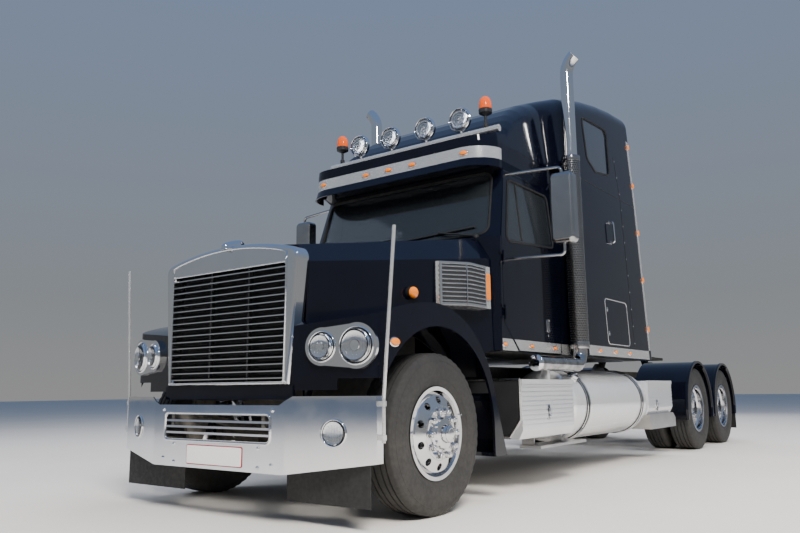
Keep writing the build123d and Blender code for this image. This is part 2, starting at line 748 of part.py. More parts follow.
# Headlights: a bean-shaped bezel with a small inner and a large outer lamp
lamp_in_x = 833.0
lamp_out_x = 1062.0
lamp_z = 1060.0
lamp_in_radius = 82.0
lamp_out_radius = 103.0
bezel_rim = 34.0
bezel_wall = 26.0
lamp_proud = 20.0
face_slope = (fender_face_out - fender_face_in) / (fender_bend_x - fender_inner_x)
lamp_mid_x = (lamp_in_x + lamp_out_x) / 2
lamp_face_y = fender_face_in + face_slope * (lamp_mid_x - fender_inner_x)
lamp_half = (lamp_out_x - lamp_in_x) / 2 * sqrt(1 + face_slope ** 2)
with BuildPart() as headlights:
    for side in (-1, 1):
        facing = Plane(origin=(side * lamp_mid_x, lamp_face_y, lamp_z), x_dir=(1, side * face_slope, 0),
                       z_dir=(side * face_slope, -1, 0))
        with BuildSketch(facing):
            with Locations((-side * lamp_half, 0)):
                Circle(lamp_in_radius + bezel_rim)
            with Locations((side * lamp_half, 0)):
                Circle(lamp_out_radius + bezel_rim)
            with BuildLine():
                Polyline((-side * lamp_half, lamp_in_radius + bezel_rim - 3),
                         (side * lamp_half, lamp_out_radius + bezel_rim - 3),
                         (side * lamp_half, -lamp_out_radius - bezel_rim + 3),
                         (-side * lamp_half, -lamp_in_radius - bezel_rim + 3), close=True)
            make_face()
        extrude(amount=bezel_wall)
        for lamp_at, lamp_radius in ((-side * lamp_half, lamp_in_radius), (side * lamp_half, lamp_out_radius)):
            with BuildSketch(facing.offset(bezel_wall - 8)):
                with Locations((lamp_at, 0)):
                    Circle(lamp_radius + 12)
                    Circle(lamp_radius, mode=Mode.SUBTRACT)
            extrude(amount=8, mode=Mode.SUBTRACT)
            with BuildSketch(facing.offset(bezel_wall - 4)):
                with Locations((lamp_at, 0)):
                    Circle(lamp_radius)
            extrude(amount=lamp_proud, taper=35)
headlights.part.label = "headlights"
export_step(headlights.part, "parts/headlights.step")

# Air intakes on the hood's rear sides: a wedge whose front face is slotted
intake_low = 1412.0
intake_high = 1742.0
intake_front_y = front_axle_y + 432.0
intake_corner_y = front_axle_y + 630.0
intake_back_y = front_axle_y + 965.0
intake_slots = 8
intake_edge = 22.0
with BuildPart() as side_intakes:
    for side in (-1, 1):
        with BuildSketch(Plane.XY.offset(intake_low)):
            with BuildLine():
                Polyline((side * 820, intake_front_y), (side * 905, intake_front_y + 20),
                         (side * (pod_half - 12), intake_corner_y), (side * pod_half, intake_corner_y + 30),
                         (side * pod_half, intake_back_y), (side * 820, intake_back_y), close=True)
            make_face()
        extrude(amount=intake_high - intake_low)
        slot_pitch = (intake_high - intake_low - 2 * intake_edge) / intake_slots
        for slot in range(intake_slots):
            slot_z = intake_low + intake_edge + (slot + 0.5) * slot_pitch
            with BuildSketch(Plane.XY.offset(slot_z - slot_pitch * 0.3)):
                with BuildLine():
                    Polyline((side * 905, intake_front_y + 45), (side * 880, intake_front_y - 20),
                             (side * (pod_half + 20), intake_corner_y - 18),
                             (side * (pod_half + 20), intake_corner_y - 5),
                             (side * (pod_half - 30), intake_corner_y + 5), close=True)
                make_face()
            extrude(amount=slot_pitch * 0.6, mode=Mode.SUBTRACT)
    add(nose_outer, mode=Mode.SUBTRACT)
side_intakes.part.label = "side_intakes"
export_step(side_intakes.part, "parts/side_intakes.step")

# Cab: plan outlines at rising heights, with corners that curve back beside the windscreen
cab_levels = [              # height, front, half width, corner width, corner depth
    (floor_z, cab_front_y, cab_half, 120.0, 45.0),
    (belt_z, cab_front_y + 12.0, cab_half, 240.0, 62.0),
    (belt_z + 5.0, screen_foot_y, cab_half - 2.0, 250.0, 60.0),
    (header_z, screen_head_y, cab_half_top, 250.0, 70.0),
    (brow_z, brow_y, brow_half, 260.0, 190.0),
    (seam_z, brow_y, brow_half, 260.0, 190.0),
]
cabin_levels = [            # the same for the inside, one wall further in
    (floor_z + cab_wall, cab_front_y + cab_wall, cab_half - cab_wall, 120.0, 45.0),
    (belt_z, cab_front_y + 12.0 + cab_wall, cab_half - cab_wall, 240.0, 62.0),
    (belt_z + 5.0, screen_foot_y + cab_wall, cab_half - cab_wall, 250.0, 60.0),
    (header_z, screen_head_y + cab_wall, cab_half_top - cab_wall, 250.0, 70.0),
    (seam_z - cab_wall, screen_head_y + cab_wall, cab_half_top - cab_wall, 250.0, 70.0),
]


def plan_block(levels, back_y):
    """A closed block lofted upwards through the plan outlines of the table."""
    with BuildPart() as block:
        for pair in zip(levels[:-1], levels[1:]):
            for height, front_y, half, corner_width, corner_depth in pair:
                bend = half - corner_width
                corner_y = front_y + corner_depth
                with BuildSketch(Plane.XY.offset(height)):
                    with BuildLine():
                        Line((-bend, front_y), (bend, front_y))
                        TangentArc((bend, front_y), (half, corner_y), tangent=(1, 0))
                        Polyline((half, corner_y), (half, back_y), (-half, back_y), (-half, corner_y))
                        TangentArc((-bend, front_y), (-half, corner_y), tangent=(-1, 0))
                    make_face()
            loft()
    return block.part


cab_outer = plan_block(cab_levels, cab_back_y)
cab_inner = plan_block(cabin_levels, cab_back_y + 5.0)

# Outlines of the windscreen, seen from the front, and of a door and its window, seen from the side
door_foot = 1102.0
door_toe_y = front_axle_y + 1400.0
door_back_y = front_axle_y + 2223.0
door_taper = 18.0           # how far a door's back edge slants inwards, so that it swings out freely
screen_outline = [(-935, 2068), (935, 2068), (898, 2612), (-898, 2612)]
door_outline = [
    (front_axle_y + 1165, 1330), (door_toe_y, door_foot), (door_back_y, door_foot),
    (door_back_y, 2625), (front_axle_y + 1345, 2625), (front_axle_y + 1165, 2030),
]
window_outline = [
    (front_axle_y + 1250, 2010), (front_axle_y + 2150, 2085),
    (front_axle_y + 2150, 2562), (front_axle_y + 1412, 2562),
]
side_in = cab_half_top - 130.0
side_out = cab_half + 40.0
sill_in = cab_half - cab_wall               # inner face of the doors beside the floor
sill_top = floor_z + cab_wall
hinge_x = cab_half + 14.0
hinge_y = front_axle_y + 1162.0
hinge_radius = 9.0
hinge_pin = 5.0
hinge_height = 60.0         # of the door's barrel
knuckle_height = 24.0       # of the cab's knuckles above and below it
knuckle_gap = 5.0
hinge_leaf = 42.0
leaf_set = 4.0              # from the pin's axis to where a leaf begins
hinge_at = [1405.0, 1850.0]

with BuildPart() as cab_shell:
    add(cab_outer)
    add(cab_inner, mode=Mode.SUBTRACT)
    with BuildSketch(Plane.XZ.offset(-(cab_front_y - 100))):
        with BuildLine():
            Polyline(*screen_outline, close=True)
        screen = make_face()
        fillet(screen.vertices(), radius=70)
    extrude(amount=-480, mode=Mode.SUBTRACT)
    for side in (-1, 1):
        with BuildPart(mode=Mode.PRIVATE) as doorway:
            with BuildSketch(Plane.YZ.offset(side * (side_in - door_gap))):
                with BuildLine():
                    Polyline(*door_outline, close=True)
                make_face()
                offset(amount=door_gap, kind=Kind.INTERSECTION)
                with Locations((door_back_y + door_gap, floor_z)):
                    Rectangle(door_back_y + 2 * door_gap - door_toe_y, 40, align=(Align.MAX, Align.CENTER))
            extrude(amount=side * (side_out - side_in + door_gap))
            with Locations((side * (sill_in - door_gap) / 2, (cab_front_y + cab_back_y) / 2, sill_top)):
                Box(sill_in - door_gap, cab_back_y - cab_front_y, 300,
                    align=(Align.CENTER, Align.CENTER, Align.MAX), mode=Mode.SUBTRACT)
        add(doorway.part, mode=Mode.SUBTRACT)
        knuckle_rise = hinge_height / 2 + knuckle_gap
        for barrel_z in hinge_at:
            for low_z in (barrel_z - knuckle_rise - knuckle_height, barrel_z + knuckle_rise):
                with BuildSketch(Plane.XY.offset(low_z)):
                    with Locations((side * hinge_x, hinge_y)):
                        Circle(hinge_radius)
                    with Locations((side * (cab_half + 4), hinge_y - leaf_set - hinge_leaf / 2)):
                        Rectangle(12, hinge_leaf)
                extrude(amount=knuckle_height)
            with BuildSketch(Plane.XY.offset(barrel_z - knuckle_rise - 1)):
                with Locations((side * hinge_x, hinge_y)):
                    Circle(hinge_pin)
            extrude(amount=2 * knuckle_rise + 2)
cab_shell.part.label = "cab_shell"
export_step(cab_shell.part, "parts/cab_shell.step")

with BuildPart() as windshield:
    add(cab_outer.moved(Location((0, glass_inset, 0))))
    with BuildSketch(Plane.XZ.offset(-(cab_front_y - 100))):
        with BuildLine():
            Polyline(*screen_outline, close=True)
        screen = make_face()
        fillet(screen.vertices(), radius=70)
        offset(amount=-rest_gap)
    extrude(amount=-480, mode=Mode.INTERSECT)
    add(cab_outer.moved(Location((0, glass_inset + glass_wall, 0))), mode=Mode.SUBTRACT)
windshield.part.label = "windshield"
export_step(windshield.part, "parts/windshield.step")

# Doors, each with the cab's whole wall and two hinges outside, and their windows
for side, name in ((1, "left"), (-1, "right")):
    with BuildPart() as door:
        add(cab_outer)
        with BuildSketch(Plane.YZ.offset(side * side_in)):
            with BuildLine():
                Polyline(*door_outline, close=True)
            make_face()
        extrude(amount=side * (side_out - side_in), mode=Mode.INTERSECT)
        add(cab_inner, mode=Mode.SUBTRACT)
        with Locations((side * sill_in / 2, (cab_front_y + cab_back_y) / 2, sill_top)):
            Box(sill_in, cab_back_y - cab_front_y, 300, align=(Align.CENTER, Align.CENTER, Align.MAX),
                mode=Mode.SUBTRACT)
        with BuildSketch(Plane.XY.offset(door_foot - door_gap)):
            with BuildLine():
                Polyline((side * cab_half, door_back_y), (side * (side_in - door_gap), door_back_y - door_taper),
                         (side * (side_in - door_gap), door_back_y + door_gap),
                         (side * cab_half, door_back_y + door_gap), close=True)
            make_face()
        extrude(amount=seam_z - door_foot, mode=Mode.SUBTRACT)
        with BuildSketch(Plane.YZ.offset(side * side_in)):
            with BuildLine():
                Polyline(*window_outline, close=True)
            pane = make_face()
            fillet(pane.vertices(), radius=45)
        extrude(amount=side * (side_out - side_in), mode=Mode.SUBTRACT)
        for barrel_z in hinge_at:
            with BuildSketch(Plane.XY.offset(barrel_z - hinge_height / 2)):
                with Locations((side * hinge_x, hinge_y)):
                    Circle(hinge_radius)
                with Locations((side * (cab_half + 4), hinge_y + leaf_set + hinge_leaf / 2)):
                    Rectangle(12, hinge_leaf)
                with Locations((side * hinge_x, hinge_y)):
                    Circle(hinge_pin + pin_gap, mode=Mode.SUBTRACT)
            extrude(amount=hinge_height)
    door.part.label = f"door_{name}"
    export_step(door.part, f"parts/door_{name}.step")
    with BuildPart() as door_window:
        add(cab_outer.moved(Location((-side * glass_inset, 0, 0))))
        with BuildSketch(Plane.YZ.offset(side * side_in)):
            with BuildLine():
                Polyline(*window_outline, close=True)
            pane = make_face()
            fillet(pane.vertices(), radius=45)
            offset(amount=-rest_gap)
        extrude(amount=side * (side_out - side_in), mode=Mode.INTERSECT)
        add(cab_outer.moved(Location((-side * (glass_inset + glass_wall), 0, 0))), mode=Mode.SUBTRACT)
    door_window.part.label = f"door_window_{name}"
    export_step(door_window.part, f"parts/door_window_{name}.step")

# Mirrors: a tall rounded housing on an upper and a lower tube arm, carried by the door
mirror_x = 1462.0
mirror_y = front_axle_y + 1475.0
mirror_low = 1965.0
mirror_high = 2560.0
mirror_width = 205.0
mirror_depth = 105.0
mirror_tube = 13.0
arm_root_y = front_axle_y + 1375.0
for side, name in ((1, "left"), (-1, "right")):
    with BuildPart() as mirror_piece:
        with BuildSketch(Plane.XZ.offset(-(mirror_y + mirror_depth / 2))):
            with Locations((side * mirror_x, (mirror_low + mirror_high) / 2)):
                RectangleRounded(mirror_width, mirror_high - mirror_low, 48)
        extrude(amount=mirror_depth)
        fillet(mirror_piece.faces().sort_by(Axis.Y)[0].outer_wire().edges(), radius=34)
        for arm_z, end_z, root_x in ((mirror_low - 95, mirror_low + 20, cab_half + rest_gap),
                                     (mirror_high + 48, mirror_high - 20, cab_half_top + 6)):
            bend_y = mirror_y - 10
            with BuildLine() as route:
                FilletPolyline((side * root_x, arm_root_y, arm_z), (side * mirror_x, bend_y, arm_z),
                               (side * mirror_x, bend_y, end_z), radius=38)
            with BuildSketch(Plane(origin=route.line @ 0, z_dir=route.line % 0)):
                Circle(mirror_tube)
            sweep(path=route.line)
        add(cab_outer, mode=Mode.SUBTRACT)
    mirror_piece.part.label = f"mirror_{name}"
    export_step(mirror_piece.part, f"parts/mirror_{name}.step")

# Sleeper box: sides that lean in, open to the cab in front and to the raised roof above
sleeper_front_y = cab_back_y
sleeper_length = sleeper_back_y - sleeper_front_y
lean = (sleeper_half - sleeper_half_seam) / (seam_z - floor_z)
with BuildPart() as sleeper_shell:
    with BuildSketch(Plane.XZ.offset(-sleeper_front_y)):
        with BuildLine():
            Polyline((-sleeper_half, floor_z), (sleeper_half, floor_z),
                     (sleeper_half_seam, seam_z), (-sleeper_half_seam, seam_z), close=True)
        make_face()
    extrude(amount=-sleeper_length)
    upright = sleeper_shell.edges().filter_by(lambda e: e.length > 1500 and abs((e % 0).Z) > 0.9)
    fillet(upright, radius=55)
    with BuildSketch(Plane.XZ.offset(-(sleeper_front_y + sleeper_wall))):
        with BuildLine():
            inner_low = floor_z + sleeper_wall
            Polyline((-sleeper_half + sleeper_wall, inner_low), (sleeper_half - sleeper_wall, inner_low),
                     (sleeper_half_seam - sleeper_wall, seam_z + 5),
                     (-sleeper_half_seam + sleeper_wall, seam_z + 5), close=True)
        make_face()
    extrude(amount=-(sleeper_length - 2 * sleeper_wall), mode=Mode.SUBTRACT)
    with BuildSketch(Plane.XZ.offset(-(sleeper_front_y - 5))):
        with BuildLine():
            Polyline((-cab_half + cab_wall, floor_z + cab_wall), (cab_half - cab_wall, floor_z + cab_wall),
                     (cab_half_top - cab_wall, seam_z - cab_wall),
                     (-cab_half_top + cab_wall, seam_z - cab_wall), close=True)
        make_face()
    extrude(amount=-(sleeper_wall + 10), mode=Mode.SUBTRACT)
sleeper_shell.part.label = "sleeper_shell"
export_step(sleeper_shell.part, "parts/sleeper_shell.step")

# Raised roof: a low brow, then cuts that rise, widen and grow round shoulders towards the back
roof_top = 4060.0
roof_wall = 30.0
roof_edge = 55.0            # rounding of its back edge
inner_floor_drop = 5.0
least_round = 12.0
brow_bend_y = brow_y + 190.0
brow_corner = 260.0         # width of the brow's rounded corner
rise_y = front_axle_y + 1390.0              # where the roof begins to rise
flare_front_y = front_axle_y + 2150.0       # where it begins to widen, and where it is full
flare_back_y = sleeper_front_y + 100.0
roof_marks = [              # place, half width at the seam, half width at the top
    (brow_bend_y, brow_half, brow_half - 150.0),
    (flare_front_y, cab_half_top + 30.0, cab_half_top - 90.0),
    (flare_back_y, sleeper_half_seam, sleeper_half_seam - 70.0),
    (sleeper_back_y, sleeper_half_seam, sleeper_half_seam - 70.0),
]
roof_line = [               # place, height, radius of the shoulders
    (rise_y, 2972, 40), (rise_y + 80, 3077, 80), (rise_y + 170, 3176, 125), (rise_y + 270, 3267, 165),
    (rise_y + 410, 3370, 195), (rise_y + 610, 3480, 205), (flare_front_y, 3544, 205),
    (flare_front_y + 195, 3620, 205), (flare_back_y, 3690, 205), (flare_back_y + 260, 3772, 205),
    (flare_back_y + 585, 3860, 205), (flare_back_y + 960, 3940, 205), (flare_back_y + 1360, 4002, 205),
    (sleeper_back_y, 4043, 205),
]


def roof_half(place, height):
    """Half of the raised roof's width at a place along it, at a height."""
    spans = [span for span in zip(roof_marks[:-1], roof_marks[1:]) if span[0][0] <= place]
    (fore_y, fore_low, fore_high), (aft_y, aft_low, aft_high) = spans[-1]
    along = (place - fore_y) / (aft_y - fore_y)
    low = fore_low + along * (aft_low - fore_low)
    high = fore_high + along * (aft_high - fore_high)
    return low + (height - seam_z) / (roof_top - seam_z) * (high - low)


def roof_section(place, height, corner, inset, drop):
    """Upright cut through the raised roof, its foot let down by drop."""
    low_half = roof_half(place, seam_z - drop) - inset
    high_half = roof_half(place, height) - inset
    with BuildSketch(Plane.XZ.offset(-place)) as section:
        with BuildLine():
            Polyline((-low_half, seam_z - drop), (low_half, seam_z - drop),
                     (high_half, height), (-high_half, height), close=True)
        make_face()
        fillet(section.vertices().group_by(Axis.Y)[-1], radius=corner)
    return section.sketch


def roof_block(inset, drop):
    """The raised roof's outer form, or its inside with the walls moved in and the floor let down."""
    front = brow_y + inset
    with BuildPart() as block:
        for height in (seam_z - drop, roof_top):
            brow = roof_half(brow_bend_y, height) - inset
            rise = roof_half(rise_y, height) - inset
            bend = brow - brow_corner
            with BuildSketch(Plane.XY.offset(height)):
                with BuildLine():
                    Line((-bend, front), (bend, front))
                    TangentArc((bend, front), (brow, brow_bend_y), tangent=(1, 0))
                    Polyline((brow, brow_bend_y), (rise, rise_y), (-rise, rise_y), (-brow, brow_bend_y))
                    TangentArc((-bend, front), (-brow, brow_bend_y), tangent=(-1, 0))
                make_face()
        loft()
        with BuildSketch(Plane.YZ.offset(-sleeper_half_seam)):
            with BuildLine():
                Polyline((front - 20, seam_z - drop), (front - 20, seam_z + 37 - inset),
                         (rise_y - 80, seam_z + 92 - inset), (rise_y, roof_line[0][1] - inset),
                         (rise_y, seam_z - drop), close=True)
            make_face()
        extrude(amount=2 * sleeper_half_seam, mode=Mode.INTERSECT)
        sections = []
        last_place, last_height = rise_y - 80, seam_z + 92
        for place, height, corner in roof_line:
            slope = (height - last_height) / (place - last_place)
            last_place, last_height = place, height
            sections.append(roof_section(
                min(place, sleeper_back_y - inset), height - inset * sqrt(1 + slope ** 2),
                max(corner - inset, least_round), inset, drop,
            ))
        loft(sections=sections, ruled=True)
        if inset == 0:
            back = block.faces().sort_by(Axis.Y)[-1]
            fillet(back.edges().filter_by(lambda e: e.center().Z > seam_z + 1), radius=roof_edge)
    return block.part


roof_outer = roof_block(0, 0)
roof_inner = roof_block(roof_wall, inner_floor_drop)
sleeper_window = [(front_axle_y + 2900, 3560), (front_axle_y + 2930, 3130), (front_axle_y + 3130, 3030),
                  (front_axle_y + 3520, 3090), (front_axle_y + 3580, 3610)]
window_corner = 70.0
window_reach = sleeper_half_seam - 300.0
with BuildPart() as roof_cap:
    add(roof_outer)
    add(roof_inner, mode=Mode.SUBTRACT)
    for side in (-1, 1):
        with BuildSketch(Plane.YZ.offset(side * window_reach)):
            with BuildLine():
                Polyline(*sleeper_window, close=True)
            pane = make_face()
            fillet(pane.vertices(), radius=window_corner)
        extrude(amount=side * 400, mode=Mode.SUBTRACT)
roof_cap.part.label = "roof_cap"
export_step(roof_cap.part, "parts/roof_cap.step")

# Upper side windows of the sleeper, laid in the raised roof's leaning sides
with BuildPart() as sleeper_windows:
    for side in (-1, 1):
        with BuildPart(mode=Mode.PRIVATE) as one_window:
            add(roof_outer.moved(Location((-side * glass_inset, 0, 0))))
            with BuildSketch(Plane.YZ.offset(side * window_reach)):
                with BuildLine():
                    Polyline(*sleeper_window, close=True)
                pane = make_face()
                fillet(pane.vertices(), radius=window_corner)
                offset(amount=-rest_gap)
            extrude(amount=side * 400, mode=Mode.INTERSECT)
            add(roof_outer.moved(Location((-side * (glass_inset + glass_wall), 0, 0))), mode=Mode.SUBTRACT)
        add(one_window.part)
sleeper_windows.part.label = "sleeper_windows"
export_step(sleeper_windows.part, "parts/sleeper_windows.step")

# Polished band over the windscreen with a dark visor lip below it
band_low = 2705.0
band_high = 2806.0
band_wall = 10.0
lip_low = 2632.0
lip_reach = 30.0
brow_bend = brow_half - brow_corner


def brow_face(grow, half_grow):
    """Plan of the brow's front, moved out by grow."""
    with BuildSketch() as plan:
        with BuildLine():
            Line((-brow_bend, brow_y - grow), (brow_bend, brow_y - grow))
            TangentArc((brow_bend, brow_y - grow), (brow_half + half_grow, brow_bend_y), tangent=(1, 0))
            Polyline((brow_half + half_grow, brow_bend_y), (brow_half + half_grow, brow_y + 230),
                     (-brow_half - half_grow, brow_y + 230), (-brow_half - half_grow, brow_bend_y))
            TangentArc((-brow_bend, brow_y - grow), (-brow_half - half_grow, brow_bend_y), tangent=(-1, 0))
        make_face()
    return plan.sketch


with BuildPart() as visor_band:
    with BuildSketch(Plane.XY.offset(band_low)):
        add(brow_face(rest_gap + band_wall, rest_gap + band_wall))
        add(brow_face(rest_gap, rest_gap), mode=Mode.SUBTRACT)
    extrude(amount=band_high - band_low)
visor_band.part.label = "visor_band"
export_step(visor_band.part, "parts/visor_band.step")

with BuildPart() as sun_visor:
    with BuildSketch(Plane.XY.offset(band_low - rest_gap)):
        add(brow_face(band_wall, band_wall))
        add(brow_face(-2, -2), mode=Mode.SUBTRACT)
    with BuildSketch(Plane.XY.offset(lip_low)):
        add(brow_face(band_wall + lip_reach, band_wall))
        add(brow_face(lip_reach - 2, -2), mode=Mode.SUBTRACT)
    loft()
    add(cab_outer, mode=Mode.SUBTRACT)
sun_visor.part.label = "sun_visor"
export_step(sun_visor.part, "parts/sun_visor.step")

# Light bar on feet that stand on the roof's slope
bar_y = front_axle_y + 1347.0
bar_z = 3030.0
bar_radius = 31.0
bar_half = 965.0
foot_at = [-720.0, -240.0, 240.0, 720.0]
foot_height = 150.0
with BuildPart() as light_bar:
    with BuildSketch(Plane.YZ.offset(-bar_half)):
        with Locations((bar_y, bar_z)):
            Circle(bar_radius)
    extrude(amount=2 * bar_half)
    for foot_x in foot_at:
        with Locations((foot_x, bar_y, bar_z - foot_height / 2)):
            Box(46, 40, foot_height)
    add(roof_outer, mode=Mode.SUBTRACT)
light_bar.part.label = "light_bar"
export_step(light_bar.part, "parts/light_bar.step")

# Four round driving lamps and two beacons on the bar
lamp_at = [-583.0, -201.0, 201.0, 583.0]
lamp_radius = 112.0
lamp_depth = 88.0
lamp_centre_z = bar_z + 152.0
beacon_x = 832.0
beacon_radius = 62.0
beacon_base_z = bar_z + bar_radius + 130.0
beacon_base = 46.0
beacon_dome = 112.0
with BuildPart() as driving_lamps:
    for lamp_x in lamp_at:
        with BuildSketch(Plane.YZ.offset(lamp_x)):
            with BuildLine():
                front = bar_y - lamp_depth / 2
                Polyline((front, lamp_centre_z), (front, lamp_centre_z + lamp_radius - 14),
                         (front + 10, lamp_centre_z + lamp_radius), (front + 34, lamp_centre_z + lamp_radius))
                ThreePointArc((front + 34, lamp_centre_z + lamp_radius),
                              (front + 76, lamp_centre_z + lamp_radius * 0.6),
                              (front + lamp_depth, lamp_centre_z))
                Line((front + lamp_depth, lamp_centre_z), (front, lamp_centre_z))
            make_face()
        revolve(axis=Axis((lamp_x, bar_y, lamp_centre_z), (0, 1, 0)))
        with BuildSketch(Plane.XY.offset(bar_z)):
            with Locations((lamp_x, bar_y)):
                Circle(13)
        extrude(amount=lamp_centre_z - lamp_radius + 20 - bar_z)
    with BuildSketch(Plane.YZ.offset(-bar_half)):
        with Locations((bar_y, bar_z)):
            Circle(bar_radius + rest_gap)
    extrude(amount=2 * bar_half, mode=Mode.SUBTRACT)
driving_lamps.part.label = "driving_lamps"
export_step(driving_lamps.part, "parts/driving_lamps.step")

with BuildPart() as beacons:
    for side in (-1, 1):
        with BuildSketch(Plane.XZ.offset(-bar_y)):
            with BuildLine():
                centre = side * beacon_x
                foot = bar_z + bar_radius + rest_gap
                dome_z = beacon_base_z + beacon_base + beacon_dome
                Polyline((centre, dome_z), (centre, foot), (centre + 22, foot), (centre + 22, foot + 30),
                         (centre + 12, foot + 40), (centre + 12, beacon_base_z - 25),
                         (centre + beacon_radius - 8, beacon_base_z),
                         (centre + beacon_radius, beacon_base_z + beacon_base),
                         (centre + beacon_radius - 4, dome_z - 50))
                TangentArc((centre, dome_z), (centre + beacon_radius - 4, dome_z - 50), tangent=(1, 0))
            make_face()
        revolve(axis=Axis((centre, bar_y, 0), (0, 0, 1)))
beacons.part.label = "beacons"
export_step(beacons.part, "parts/beacons.step")

# Exhaust: a pipe that rises behind each door and turns out at its tip, fed by a duct under the cab
duct_front_y = front_axle_y + 1440.0
elbow_radius = 120.0
turn_start = 3805.0
turn_radius = 230.0
turn_angle = 52.0
with BuildPart() as exhaust_pipes:
    for side in (-1, 1):
        pipe_x = side * stack_x
        tip_x = side * (stack_x + turn_radius * (1 - cos(radians(turn_angle))))
        tip_z = turn_start + turn_radius * sin(radians(turn_angle))
        with BuildLine() as route:
            Line((pipe_x, duct_front_y, duct_z), (pipe_x, stack_y - elbow_radius, duct_z))
            TangentArc((pipe_x, stack_y - elbow_radius, duct_z), (pipe_x, stack_y, duct_z + elbow_radius),
                       tangent=(0, 1, 0))
            Line((pipe_x, stack_y, duct_z + elbow_radius), (pipe_x, stack_y, turn_start))
            TangentArc((pipe_x, stack_y, turn_start), (tip_x, stack_y, tip_z), tangent=(0, 0, 1))
        with BuildSketch(Plane(origin=route.line @ 0, z_dir=route.line % 0)):
            Circle(pipe_radius)
            Circle(pipe_radius - pipe_wall, mode=Mode.SUBTRACT)
        sweep(path=route.line)
exhaust_pipes.part.label = "exhaust_pipes"
export_step(exhaust_pipes.part, "parts/exhaust_pipes.step")

band_height = 70.0
shield_wall = 3.0
with BuildPart() as stack_shields:
    for side in (-1, 1):
        with BuildSketch(Plane.XY.offset(shield_low)):
            with Locations((side * stack_x, stack_y)):
                Circle(shield_radius)
                Circle(shield_radius - shield_wall, mode=Mode.SUBTRACT)
        extrude(amount=shield_high - shield_low)
        for ring_z in (shield_low, shield_high - band_height):
            with BuildSketch(Plane.XY.offset(ring_z)):
                with Locations((side * stack_x, stack_y)):
                    Circle(shield_radius + 3)
                    Circle(pipe_radius + rest_gap, mode=Mode.SUBTRACT)
            extrude(amount=band_height)
        clip_y = stack_y + shield_radius * 0.65
        clip_length = sleeper_front_y - rest_gap - clip_y
        for clip_z in (shield_low + 150, shield_high - 250):
            with Locations((side * (stack_x - 70), clip_y + clip_length / 2, clip_z)):
                Box(50, clip_length, 60)
stack_shields.part.label = "stack_shields"
export_step(stack_shields.part, "parts/stack_shields.step")

# Fuel tanks: rounded-end cylinders beside the frame, each held by two straps on brackets
strap_at = [front_axle_y + 2420.0, front_axle_y + 3880.0]
strap_width = 62.0
strap_wall = 5.0
with BuildPart() as fuel_tanks:
    for side in (-1, 1):
        with BuildSketch(Plane.XZ.offset(-tank_front_y)):
            with Locations((side * tank_x, tank_z)):
                Circle(tank_radius)
        extrude(amount=-(tank_back_y - tank_front_y))
    fillet(fuel_tanks.edges().filter_by(GeomType.CIRCLE), radius=38)
fuel_tanks.part.label = "fuel_tanks"
export_step(fuel_tanks.part, "parts/fuel_tanks.step")

with BuildPart() as tank_straps:
    for side in (-1, 1):
        for strap_y in strap_at:
            with BuildSketch(Plane.XZ.offset(-(strap_y - strap_width / 2))):
                with BuildLine():
                    Polyline((side * rail_out, rail_bottom + 10), (side * rail_out, rail_top - 10),
                             (side * (tank_x - 230), rail_top - 10), (side * (tank_x - 120), rail_mid),
                             (side * (tank_x - 120), tank_z - tank_radius + 20),
                             (side * (tank_x - 250), tank_z - tank_radius + 20), close=True)
                make_face()
                with Locations((side * tank_x, tank_z)):
                    Circle(tank_radius + rest_gap + strap_wall)
                    Circle(tank_radius + rest_gap, mode=Mode.SUBTRACT)
            extrude(amount=-strap_width)
tank_straps.part.label = "tank_straps"
export_step(tank_straps.part, "parts/tank_straps.step")

# Ribbed side boxes: one before each tank, a shorter one behind it
front_box_y = (front_axle_y + 1125.0, front_axle_y + 2100.0)
rear_box_y = (front_axle_y + 4110.0, front_axle_y + 4960.0)
rib_pitch = 36.0
rib_depth = 5.0
box_chamfer = 70.0
with BuildPart() as side_boxes:
    for side in (-1, 1):
        for (start_y, end_y), low_z, in_x in ((front_box_y, box_low, box_in), (rear_box_y, 500.0, box_in)):
            with BuildSketch(Plane.XZ.offset(-start_y)):
                with BuildLine():
                    Polyline((side * in_x, box_top), (side * box_out, box_top),
                             (side * box_out, low_z + box_chamfer),
                             (side * (box_out - box_chamfer / 2), low_z), (side * in_x, low_z), close=True)
                make_face()
                rib_count = int((box_top - 60 - low_z - box_chamfer) / rib_pitch)
                for rib in range(rib_count):
                    rib_z = low_z + box_chamfer + 20 + (rib + 0.5) * rib_pitch
                    with Locations((side * box_out, rib_z)):
                        Rectangle(2 * rib_depth, rib_pitch * 0.3, mode=Mode.SUBTRACT)
            extrude(amount=-(end_y - start_y))
            for hanger_y in (start_y + 150, end_y - 150):
                length = in_x - rail_out
                with Locations((side * (rail_out + length / 2), hanger_y, rail_mid - 40)):
                    Box(length, 60, 130)
        cradle_height = duct_z - pipe_radius - rest_gap - box_top
        with Locations((side * (stack_x - 20), duct_front_y + 200, box_top + cradle_height / 2)):
            Box(60, 40, cradle_height)
side_boxes.part.label = "side_boxes"
export_step(side_boxes.part, "parts/side_boxes.step")

